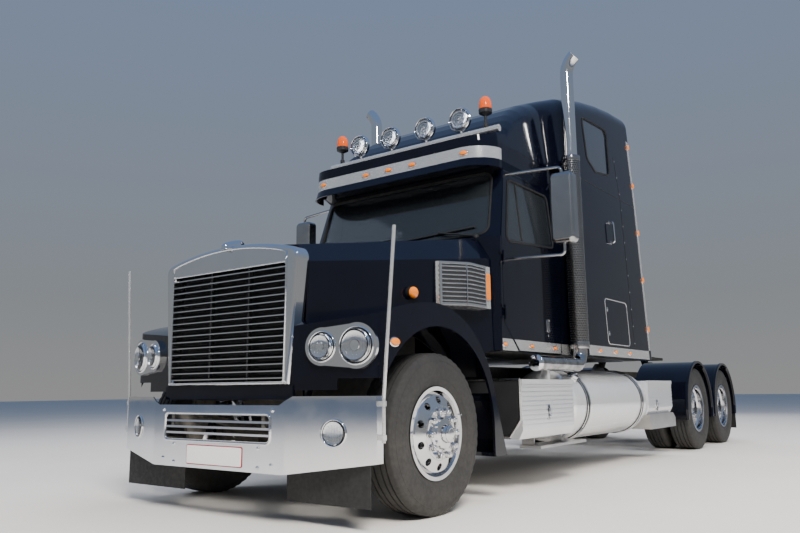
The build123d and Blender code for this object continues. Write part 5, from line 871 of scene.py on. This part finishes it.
def makeGaskets():
    look = glassLook
    form = Form()
    outline = roundOutline([(x, 0, z) for x, z in grown(look["screen"], look["grow"])],
                           look["screenRound"], 6)
    points = []
    for i, start in enumerate(outline):
        end = outline[(i + 1) % len(outline)]
        pieces = max(1, int((end - start).length / look["pieceLength"]))
        points += [start.lerp(end, k / pieces) for k in range(pieces)]
    form.addTube([onFront("cab_shell", p.x, p.z)[0] for p in points], 0.011, 10, closed=True)
    for side in sides:
        addSideRing(form, "roof_cap", side, grown(look["high"], look["grow"]), look["highRound"], 0.010)
    form.make("fixedGaskets", ["rubber"], "root", sharp=60)
    for side, name in namedSides:
        door = Form()
        addSideRing(door, "door_" + name, side, grown(look["pane"], look["grow"]), look["paneRound"], 0.010)
        y, *ends = look["divider"]
        foot, head = (onSide("door_window_" + name, side, y, z)[0] for z in ends)
        door.addTube([foot, head], 0.009, 8)
        door.make("doorGasket_" + name, ["rubber"], "cab_door_" + name, sharp=60)
    wiper = Form()
    steps = look["wiperSteps"]
    for tip, root in look["wipers"]:
        blade = []
        for k in range(steps + 1):
            x, z = tip + (root - tip) * k / steps, look["wiperZ"] + look["wiperRise"] * k / steps
            spot, facing = onFront("windshield", x, z)
            blade.append(spot + facing * look["wiperOff"])
        wiper.addTube(blade, 0.007, 8)
        spot, facing = onFront("cab_shell", root + look["pivotAside"], look["pivotZ"])
        middle = blade[steps // 2] + Vector((0, -0.014, 0.006))
        wiper.addTube([spot, spot + facing * look["pivotOut"], middle], 0.008, 8)
        wiper.addLathe(look["pivotCap"], spot, facing, 20)
    wiper.make("wipers", ["plastic"], "root", sharp=50)

# Grille louvers: a thin bright nose on each dark slanted blade
louverLook = dict(count=17, face=-4.382, nose=0.0125, noseDeep=0.016, depth=0.046, drop=0.012, tail=0.007,
                  posts=(-0.19, 0.19))


def makeLouvers():
    look, grille = louverLook, grilleLook
    form = Form()
    y, nose, tall = look["face"], look["nose"], grille["high"] - grille["low"]
    deep, back = y + look["noseDeep"], y + look["depth"]
    for row in range(look["count"]):
        share = (row + 0.5) / look["count"]
        z = grille["low"] + share * tall
        half = grille["halfLow"] + (grille["halfHigh"] - grille["halfLow"]) * share
        bar = [(y, -0.3 * nose), (y, 0.3 * nose), (y + 0.004, 0.5 * nose), (deep, 0.5 * nose),
               (deep, -0.5 * nose),
               (y + 0.004, -0.5 * nose)]
        blade = [(y + 0.0155, -0.4 * nose), (y + 0.0155, 0.4 * nose), (back, look["drop"] + look["tail"]),
                 (back, look["drop"])]
        for slot, section in enumerate((bar, blade)):
            form.addPrism([(-half, a, z + b) for a, b in section], (2 * half, 0, 0), slot)
    for x in look["posts"]:
        form.addBox((x, y + 0.031, grille["low"] + tall / 2), (0.014, 0.028, tall), slot=1)
    piece = form.make("grilleLouvers", ["chrome", "plastic"], "hood", sharp=30)
    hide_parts("grille_bars")

# Stack shields: perforated tubes with staggered round holes between two plain bands
shieldLook = dict(x=1.180, y=-1.250, radius=0.084, wall=0.003, low=1.150, high=2.977, lowBand=0.062,
                  highBand=0.048,
                  columns=24, rows=78, hole=0.0082, overlap=0.002, lip=0.003, liner=(0.010, 0.007),
                  clip=(0.070, 0.072), clipSize=(0.040, 0.036, 0.050), clipAt=(1.300, 2.727))


def addPerforated(form, middle, radius, wall, low, high, columns, rows, hole):
    # every cell has eight points on its rim, shared with its neighbours, and an eight-sided hole
    halfTurn, halfRise = math.pi / columns, (high - low) / rows / 2
    around = [(1, 0), (1, 1), (0, 1), (-1, 1), (-1, 0), (-1, -1), (0, -1), (1, -1)]
    verts, faces, known = [], [], {}

    def spot(angle, z, reach):
        return (middle[0] + reach * math.cos(angle), middle[1] + reach * math.sin(angle), z)

    def rim(layer, a, b):
        key = (layer, a % (2 * columns), b)
        if key not in known:
            known[key] = len(verts)
            verts.append(spot(key[1] * halfTurn, low + b * halfRise, radius - layer * wall))
        return known[key]

    for row in range(rows):
        for column in range(columns):
            a, b = 2 * column + row % 2, 2 * row + 1
            holes = []
            for layer in (0, 1):
                reach = radius - layer * wall
                start = len(verts)
                for k in range(8):
                    turn = math.radians(45 * k)
                    verts.append(spot(a * halfTurn + hole * math.cos(turn) / radius,
                                      low + b * halfRise + hole * math.sin(turn), reach))
                holes.append(start)
                for k in range(8):
                    n = (k + 1) % 8
                    edge = [rim(layer, a + around[k][0], b + around[k][1]),
                            rim(layer, a + around[n][0], b + around[n][1])]
                    faces.append((edge[0], edge[1], start + n, start + k))
            for k in range(8):
                n = (k + 1) % 8
                faces.append((holes[0] + k, holes[0] + n, holes[1] + n, holes[1] + k))
    for b in (0, 2 * rows):
        for a in range(2 * columns):
            faces.append((rim(0, a, b), rim(0, a + 1, b), rim(1, a + 1, b), rim(1, a, b)))
    form.addRaw(verts, faces)


def makeShields():
    look = shieldLook
    r, wall = look["radius"], look["wall"]
    for side, name in namedSides:
        middle = (side * look["x"], look["y"])
        form = Form()
        low, high = look["low"] + look["lowBand"], look["high"] - look["highBand"]
        addPerforated(form, middle, r, wall, low, high, look["columns"], look["rows"], look["hole"])
        over, lip = look["overlap"], look["lip"]
        for start, end in ((look["low"], low + over), (high - over, look["high"])):
            ring = [(start, r - wall), (start, r + over), (start + lip, r + lip), (end - lip, r + lip),
                    (end, r + over), (end, r - wall)]
            form.addLathe(ring, (*middle, 0), (0, 0, 1), 52, closed=True)
        inner, outer = (r - depth for depth in look["liner"])
        liner = [(low, inner), (low, outer), (high, outer), (high, inner)]
        form.addLathe(liner, (*middle, 0), (0, 0, 1), 40, slot=1, closed=True)
        for z in look["clipAt"]:
            form.addBox((side * (look["x"] - look["clip"][0]), look["y"] + look["clip"][1], z),
                        look["clipSize"])
        piece = form.make("stackShield_" + name, ["steel", "cast"], "root", sharp=40)
        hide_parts("stack_shields")

# Side intakes: dark slots behind bright fins, round the corner of the wedge, with an amber lamp behind them
intakeLook = dict(low=1.412, high=1.742, edge=0.020, fins=9, fin=0.010, proud=0.009,
                  route=[(0.912, -3.145), (1.031, -2.972), (1.043, -2.940), (1.043, -2.722)],
                  backing=0.006, gap=0.001, finBack=0.0015,
                  posts=((0, 0.018), (3, 0.014)), postOut=0.004, postDeep=0.012, corner=0.010,
                  cornerOut=0.005,
                  lamp=(-2.716, -2.650, 1.478, 1.686), lampX=1.040, lampDeep=0.014, lampRibs=11, ribX=1.0545,
                  ribInset=0.018, ribWide=0.003, ribHigh=0.006)


def makeIntakes():
    look = intakeLook
    form, amber = Form(), Form()
    route = [Vector((x, y, 0)) for x, y in look["route"]]
    ways = []
    for k in range(len(route)):
        along = (route[min(k + 1, 3)] - route[max(k - 1, 0)]).normalized()
        ways.append(Vector((-along.y, along.x, 0)) * -1)
    for side in sides:
        def band(low, high, inside, outside, slot=0):
            outline = [p + w * inside for p, w in zip(route, ways)]
            outline += [p + w * outside for p, w in reversed(list(zip(route, ways)))]
            form.addPrism([(p.x * side, p.y, low) for p in outline], (0, 0, high - low), slot)

        low, high, edge, proud, gap = (look[key] for key in ("low", "high", "edge", "proud", "gap"))
        band(low + look["backing"], high - look["backing"], -0.002, 0.0025, 1)
        band(low + gap, low + edge, 0.0, proud)
        band(high - edge, high - gap, 0.0, proud)
        span = high - low - 2 * edge
        for k in range(look["fins"]):
            z = low + edge + (k + 0.5) * span / look["fins"]
            band(z - look["fin"] / 2, z + look["fin"] / 2, 0.0, proud - look["finBack"])
        middle, tall = (low + high) / 2, high - low - 0.002
        for k, wide in look["posts"]:
            spot = route[k] + ways[k] * look["postOut"]
            turn = facingTurn(Vector((ways[k].x * side, ways[k].y, 0)))
            form.addBox((spot.x * side, spot.y, middle), (wide, tall, look["postDeep"]), turn)
        spot = route[1] + ways[1] * look["cornerOut"]
        form.addBox((spot.x * side, spot.y, middle), (look["corner"], look["corner"], tall))
        fore, aft, low, high = look["lamp"]
        ring = roundOutline([(side * look["lampX"], a, b) for a, b in corners(fore, low, aft, high)], 0.014)
        amber.addPrism(ring, (side * look["lampDeep"], 0, 0))
        ribs, inset = look["lampRibs"], look["ribInset"]
        for k in range(ribs):
            z = low + inset + k * (high - low - 2 * inset) / (ribs - 1)
            amber.addBox((side * look["ribX"], (fore + aft) / 2, z),
                         (look["ribWide"], aft - fore - 0.020, look["ribHigh"]))
    form.make("intakeFins", ["chrome", "plastic"], "hood", bevel=0.0012)
    amber.make("intakeLamps", ["amber"], "hood", bevel=0.003)

# Doors: handle in its dark recess, lock, mirror glass on the rear face of each mirror
doorLook = dict(handle=(-1.633, 1.343), size=(0.054, 0.108), lockDrop=0.085,
                lock=[(-0.001, 0.011), (0.003, 0.011), (0.0045, 0.008), (0.0045, 0.0)],
                mirror=(1.462, -2.0735, 1.983, 2.542), mirrorHalf=0.0865, mirrorRound=0.036)


def makeDoorTrim():
    look = doorLook
    wide, tall = look["size"]
    handleY, handleZ = look["handle"]
    mirrorX, y, low, high = look["mirror"]
    half = look["mirrorHalf"]
    for side, name in namedSides:
        body = "cab_door_" + name
        form, glass = Form(), Form()
        spot, facing = onSide("door_" + name, side, handleY, handleZ)
        form.addPrism(padOutline(spot, facing, wide, tall, 0.012, -0.001), facing * 0.0035, slot=1)
        form.addTube(padOutline(spot, facing, wide, tall, 0.012, 0.002), 0.0042, 8, closed=True)
        form.addPrism(padOutline(spot, facing, wide * 0.36, tall * 0.66, 0.007, 0.002), facing * 0.012)
        form.addLathe(look["lock"], *onSide("door_" + name, side, handleY, handleZ - look["lockDrop"]), 20)
        form.make("doorHandle_" + name, ["chrome", "plastic"], body, sharp=50)
        x = side * mirrorX
        pane = roundOutline([(a, y, b) for a, b in corners(x - half, low, x + half, high)],
                            look["mirrorRound"])
        glass.addPrism(pane, (0, 0.003, 0))
        glass.addTube([p + Vector((0, 0.002, 0)) for p in pane], 0.005, 8, slot=1, closed=True)
        glass.make("mirrorGlass_" + name, ["reflector", "rubber"], body, sharp=50)

# Sleeper: luggage doors with latches, grab handles, seams with rivets, work lamp on the roof's back edge
sleeperLook = dict(
    hatch=corners(-0.570, 1.224, 0.046, 1.680), hatchRound=0.045, latches=[(-0.530, 1.33), (-0.530, 1.57)],
    latchPin=[(0.003, 0.009), (0.009, 0.008), (0.011, 0.0)], grab=(-0.235, 2.300, 2.520), grabOut=0.045,
    grabFoot=[(-0.001, 0.019), (0.004, 0.019), (0.006, 0.015)], seamY=0.185, seamLow=1.215, seamHigh=3.36,
    seamLean=0.13, seamStep=0.185 / 4, rivetEvery=4, rivetAside=0.016,
    rivet=[(-0.001, 0.0062), (0.0015, 0.0062), (0.0035, 0.004), (0.004, 0.0)],
    joint=(-1.130, 0.630, 2.860 - 0.004), jointSteps=22,
    workLamp=(0.66, 0.700), lampAim=(0, 1, -0.25), lampLens=[(0.024, 0.051), (0.034, 0.040), (0.038, 0.0)],
    lampShell=[(-0.045, 0.0), (-0.045, 0.030), (-0.020, 0.050), (0.028, 0.058), (0.032, 0.058),
               (0.032, 0.050)],
)


def makeSleeperTrim():
    look, node = sleeperLook, "sleeper_shell"
    form, lamp = Form(), Form()
    for side in sides:
        addSideRing(form, node, side, look["hatch"], look["hatchRound"], 0.0048, slot=1)
        addSideRing(form, node, side, grown(look["hatch"], -0.012), look["hatchRound"] - 0.008,
                    0.0025, 6, slot=2)
        for y, z in look["latches"]:
            spot, facing = onSide(node, side, y, z)
            form.addPrism(padOutline(spot, facing, 0.030, 0.046, 0.007, -0.001), facing * 0.005)
            form.addLathe(look["latchPin"], spot, facing, 16)
        y, low, high = look["grab"]
        foot, facing = onSide(node, side, y, low)
        head = onSide(node, side, y, high)[0]
        addGrab(form, foot, head, facing * look["grabOut"], 0.022, 0.0095)
        for spot in (foot, head):
            form.addLathe(look["grabFoot"], spot, facing, 20)
        seam, z = [], look["seamLow"]
        while z < look["seamHigh"]:
            lean = max(0.0, z - truck["roofFoot"]) * look["seamLean"]
            seam.append(onSide(wallNode(z), side, look["seamY"] - lean, z)[0])
            if len(seam) % look["rivetEvery"] == 2:
                rivet, out = onSide(wallNode(z), side, look["seamY"] + look["rivetAside"] - lean, z)
                form.addLathe(look["rivet"], rivet, out, 12)
            z += look["seamStep"]
        form.addTube(seam, 0.0026, 6, slot=2)
        start, end, z = look["joint"]
        steps = look["jointSteps"]
        joint = [onSide(node, side, start + (end - start) * k / steps, z)[0] for k in range(steps + 1)]
        form.addTube(joint, 0.0034, 6, slot=2)
    form.make("sleeperTrim", ["chrome", "stainless", "rubber"], "root", sharp=50)
    x, y = look["workLamp"]
    foot = touch("roof_cap", (x, y - 0.02, 6.0), (0, 0, -1))[0]
    head = foot + Vector((0, 0.030, 0.055))
    lamp.addTube(smoothRoute([foot - Vector((0, 0, 0.01)), foot + Vector((0, 0, 0.03)), head], 0.012),
                 0.009, 10)
    lamp.addLathe(look["lampShell"], head, look["lampAim"], 32)
    lamp.addLathe(look["lampLens"], head, look["lampAim"], 32, slot=1)
    lamp.make("workLamp", ["plastic", "lens"], "root", sharp=40)

# Tanks and boxes: filler caps, bright strap edges, latches, duct caps, lids, end covers, dark underside panels
sideLook = dict(
    tank=(0.880, 0.645, 0.322), capY=-1.250, capTurn=50.0, strapRadius=0.334,
    strapEdges=[-1.209, -1.151, 0.251, 0.309], latches=[(-2.006, 0.605), (0.787, 0.597)],
    cap=[(-0.010, 0.058), (0.010, 0.058), (0.014, 0.054), (0.014, 0.047), (0.036, 0.047),
         (0.041, 0.042), (0.041, 0.0)],
    cover=[(0.700, 0.430), (1.090, 0.430), (1.186, 0.560), (1.186, 0.868), (0.700, 0.868)], coverY=-2.475,
    duct=(1.180, -2.160, 1.003),
    ductCap=[(-0.004, 0.050), (-0.004, 0.067), (0.008, 0.067), (0.020, 0.052), (0.024, 0.030), (0.025, 0.0)],
    lids=[(-2.478, -1.498), (0.508, 1.362)], lidX=1.196, lidWide=0.020, lidLow=0.830, lidHigh=0.868,
    under=[("cab_shell", -2.440, -1.166, 0.300), ("sleeper_shell", -1.155, 0.740, 0.0)], underOuter=1.005,
)


def addSideLatch(form, spot, facing):
    form.addPrism(padOutline(spot, facing, 0.046, 0.118, 0.008, -0.001), facing * 0.004)
    form.addPrism(padOutline(spot, facing, 0.030, 0.092, 0.006, 0.002), facing * 0.0035, slot=1)
    form.addPrism(padOutline(spot + Vector((0, 0, 0.008)), facing, 0.016, 0.058, 0.005, 0.004),
                  facing * 0.012)
    form.addLathe([(0.004, 0.011), (0.018, 0.009), (0.019, 0.0)], spot - Vector((0, 0, 0.034)), facing, 18)


def makeSideTrim():
    look = sideLook
    tankX, tankZ, tankRadius = look["tank"]
    turn, reach = math.radians(look["capTurn"]), look["strapRadius"]
    low, high = look["lidLow"], look["lidHigh"]
    form = Form()
    for side in sides:
        out = Vector((side * math.cos(turn), 0, math.sin(turn)))
        spot = Vector((side * tankX, look["capY"], tankZ)) + out * tankRadius
        form.addLathe(look["cap"], spot, out, 36)
        form.addBox(spot + out * 0.046, (0.070, 0.014, 0.012), facingTurn(out))
        for y in look["strapEdges"]:
            ring = [(side * tankX + reach * c, y, tankZ + reach * s) for c, s in circle(72)]
            form.addTube(ring, 0.0035, 8, closed=True)
        for y, z in look["latches"]:
            addSideLatch(form, *onSide("side_boxes", side, y, z))
        x, y, z = look["duct"]
        form.addLathe(look["ductCap"], (side * x, y, z), ahead, 36)
        for fore, aft in look["lids"]:
            form.addBox((side * look["lidX"], (fore + aft) / 2, (low + high) / 2),
                        (look["lidWide"], aft - fore, high - low), slot=3)
        for node, fore, aft, inner in look["under"]:
            z = touch(node, (side * 0.9, (fore + aft) / 2, 0.1), (0, 0, 1))[0].z
            wide = look["underOuter"] - inner
            form.addBox((side * (inner + wide / 2), (fore + aft) / 2, z - 0.002),
                        (wide, aft - fore, 0.005), slot=4)
        y = look["coverY"]
        form.addPrism([(side * a, y + 0.001, b) for a, b in look["cover"]], (0, -0.006, 0), slot=1)
        form.addTube([(side * a, y - 0.006, b) for a, b in look["cover"]], 0.011, 8, slot=2, closed=True)
    form.make("tankAndBoxTrim", ["chrome", "plastic", "tread", "aluminium", "frame"], "root", sharp=40)

# Plain ornament on the grille's head
ornamentLook = dict(place=(0.0, -4.345, 3.0), wide=0.040, long=0.100, tall=0.046, seat=0.012, seatTall=0.014,
                    sunk=0.004, seatLean=-0.25, lean=-0.30)


def makeOrnament():
    look = ornamentLook
    form = Form()
    wide, long, seat = look["wide"], look["long"], look["seat"]
    spot = touch("grille_surround", look["place"], (0, 0, -1))[0]
    low = spot - Vector((0, 0, look["sunk"]))
    addOval(form, low, Vector((0, look["seatLean"], 1)), wide + seat, long + seat, look["seatTall"])
    addOval(form, spot, Vector((0, look["lean"], 1)), wide, long, look["tall"])
    form.make("hoodOrnament", ["chrome"], "hood", sharp=60)

# Seats: crowned pads on plastic pedestals
seatLook = dict(x=0.480, cushion=((-1.640, 1.652), (0.480, 0.500, 0.150), 2.0),
                back=((-1.436, 1.985), (0.460, 0.120, 0.560), -11.0),
                head=((-1.372, 2.245), (0.280, 0.095, 0.110), -11.0), pedestal=(-1.640, 1.160, 1.580, 0.30),
                pedestalRound=0.05, plinthZ=1.578,
                plinth=(0.40, 0.42, 0.016), post=[(-1.430, 1.600), (-1.372, 1.900)], postRadius=0.022,
                roundness=5.0, crown=0.022 * 1.6)


def addPad(form, centre, size, tilt, steps=12):
    # a rounded block whose faces swell between their edges
    turn = Matrix.Rotation(math.radians(tilt), 3, "X")
    power = seatLook["roundness"]
    verts, faces, known = [], [], {}
    for axis in range(3):
        for way in (-1, 1):
            grid = []
            for i in range(steps + 1):
                for j in range(steps + 1):
                    flat = [0.0, 0.0, 0.0]
                    flat[axis] = way
                    flat[(axis + 1) % 3] = -1 + 2 * i / steps
                    flat[(axis + 2) % 3] = -1 + 2 * j / steps
                    key = tuple(round(v * steps) for v in flat)
                    if key not in known:
                        length = sum(abs(v) ** power for v in flat) ** (1 / power)
                        point = Vector([v / length for v in flat])
                        swell = (1 - flat[(axis + 1) % 3] ** 2) * (1 - flat[(axis + 2) % 3] ** 2)
                        place = Vector([point[n] * size[n] / 2 for n in range(3)])
                        spread = min(1.0, size[(axis + 1) % 3], size[(axis + 2) % 3])
                        place[axis] += way * swell * seatLook["crown"] * spread
                        known[key] = len(verts)
                        verts.append(Vector(centre) + turn @ place)
                    grid.append(known[key])
            for i in range(steps):
                for j in range(steps):
                    a = i * (steps + 1) + j
                    faces.append((grid[a], grid[a + 1], grid[a + steps + 2], grid[a + steps + 1]))
    form.addRaw(verts, faces)


def makeSeats():
    look = seatLook
    base = Form()
    for side, name in namedSides:
        for part in ("cushion", "back", "head"):
            (y, z), size, tilt = look[part]
            form = Form()
            addPad(form, (side * look["x"], y, z), size, tilt)
            pad = form.make("seatPad_" + part + "_" + name, ["cloth"], "root", sharp=70)
            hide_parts("seats")
        x = side * look["x"]
        y, low, high, wide = look["pedestal"]
        foot = corners(x - wide / 2, y - wide / 2, x + wide / 2, y + wide / 2)
        base.addPrism(roundOutline([(a, b, low) for a, b in foot], look["pedestalRound"]), (0, 0, high - low))
        base.addBox((x, y, look["plinthZ"]), look["plinth"])
        base.addTube([(x, *place) for place in look["post"]], look["postRadius"], 10)
    piece = base.make("seatBases", ["plastic"], "root", bevel=0.004)
    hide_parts("seats")

# Sleeper's back wall: seams, a vent panel, grab bars, two work lamps and the plain coupling box
backLook = dict(
    seams=[1.62, 2.24, 2.86], seamHalf=1.04, seamDrop=0.004, vent=(0.0, 2.55, 0.46, 0.26), bars=7,
    box=(0.0, 1.42, 0.42, 0.20), ports=[(-0.125, 0.030, 0), (0.0, 0.038, 1), (0.125, 0.030, 0)],
    lamp=(0.74, 2.62), lampLens=[(0.056, 0.057), (0.066, 0.045), (0.071, 0.0)],
    lampShell=[(-0.002, 0.030), (0.020, 0.030), (0.028, 0.058), (0.060, 0.064), (0.064, 0.064),
               (0.064, 0.056)],
    grab=(0.92, 1.35, 1.95), grabOut=0.055,
)


def makeBackTrim():
    look, half = backLook, backLook["seamHalf"]
    form = Form()
    for z in look["seams"]:
        points = [onBack(-half + 2 * half * k / 16, z - look["seamDrop"])[0] for k in range(17)]
        form.addTube(points, 0.0032, 6, slot=2)
    x, z, wide, tall = look["vent"]
    spot, facing = onBack(x, z)
    form.addPrism(padOutline(spot, facing, wide, tall, 0.030, -0.002), facing * 0.008, slot=1)
    form.addTube(padOutline(spot, facing, wide, tall, 0.030, 0.005), 0.007, 8, closed=True)
    for k in range(look["bars"]):
        rise = (k + 0.5) / look["bars"] - 0.5
        form.addBox(spot + Vector((0, 0.010, rise * (tall - 0.05))), (wide - 0.05, 0.010, 0.012),
                    Matrix.Rotation(0.5, 3, "X"), slot=1)
    x, z, wide, tall = look["box"]
    spot, facing = onBack(x, z)
    form.addPrism(padOutline(spot, facing, wide, tall, 0.020, -0.002), facing * 0.022, slot=1)
    for x, radius, slot in look["ports"]:
        port = [(0.0, radius), (0.012, radius), (0.018, radius * 0.9), (0.052, radius * 0.8),
                (0.056, radius * 0.7),
                (0.056, 0.0)]
        form.addLathe(port, spot + Vector((x, 0.020, 0)), (0, 1, -0.15), 28, slot)
    for side in sides:
        spot, facing = onBack(side * look["lamp"][0], look["lamp"][1])
        form.addLathe(look["lampShell"], spot, facing, 32, slot=1)
        form.addLathe(look["lampLens"], spot, facing, 32, slot=3)
        x, low, high = look["grab"]
        addGrab(form, onBack(side * x, low)[0], onBack(side * x, high)[0],
                Vector((0, look["grabOut"], 0)), 0.025, 0.012)
    form.make("backTrim", ["chrome", "plastic", "rubber", "lens"], "root", sharp=45)

# Build, in this order
for stage in (finishNodes, makeTyres, makeHubs, makeGrille, makeHeadlights, makeMarkers, makeStrips,
              makeBumperTrim, makeBarLamps, makeGaskets, makeLouvers, makeShields, makeIntakes, makeDoorTrim,
              makeSleeperTrim, makeSideTrim, makeOrnament, makeSeats, makeBackTrim):
    stage()
    print(stage.__name__, "done")
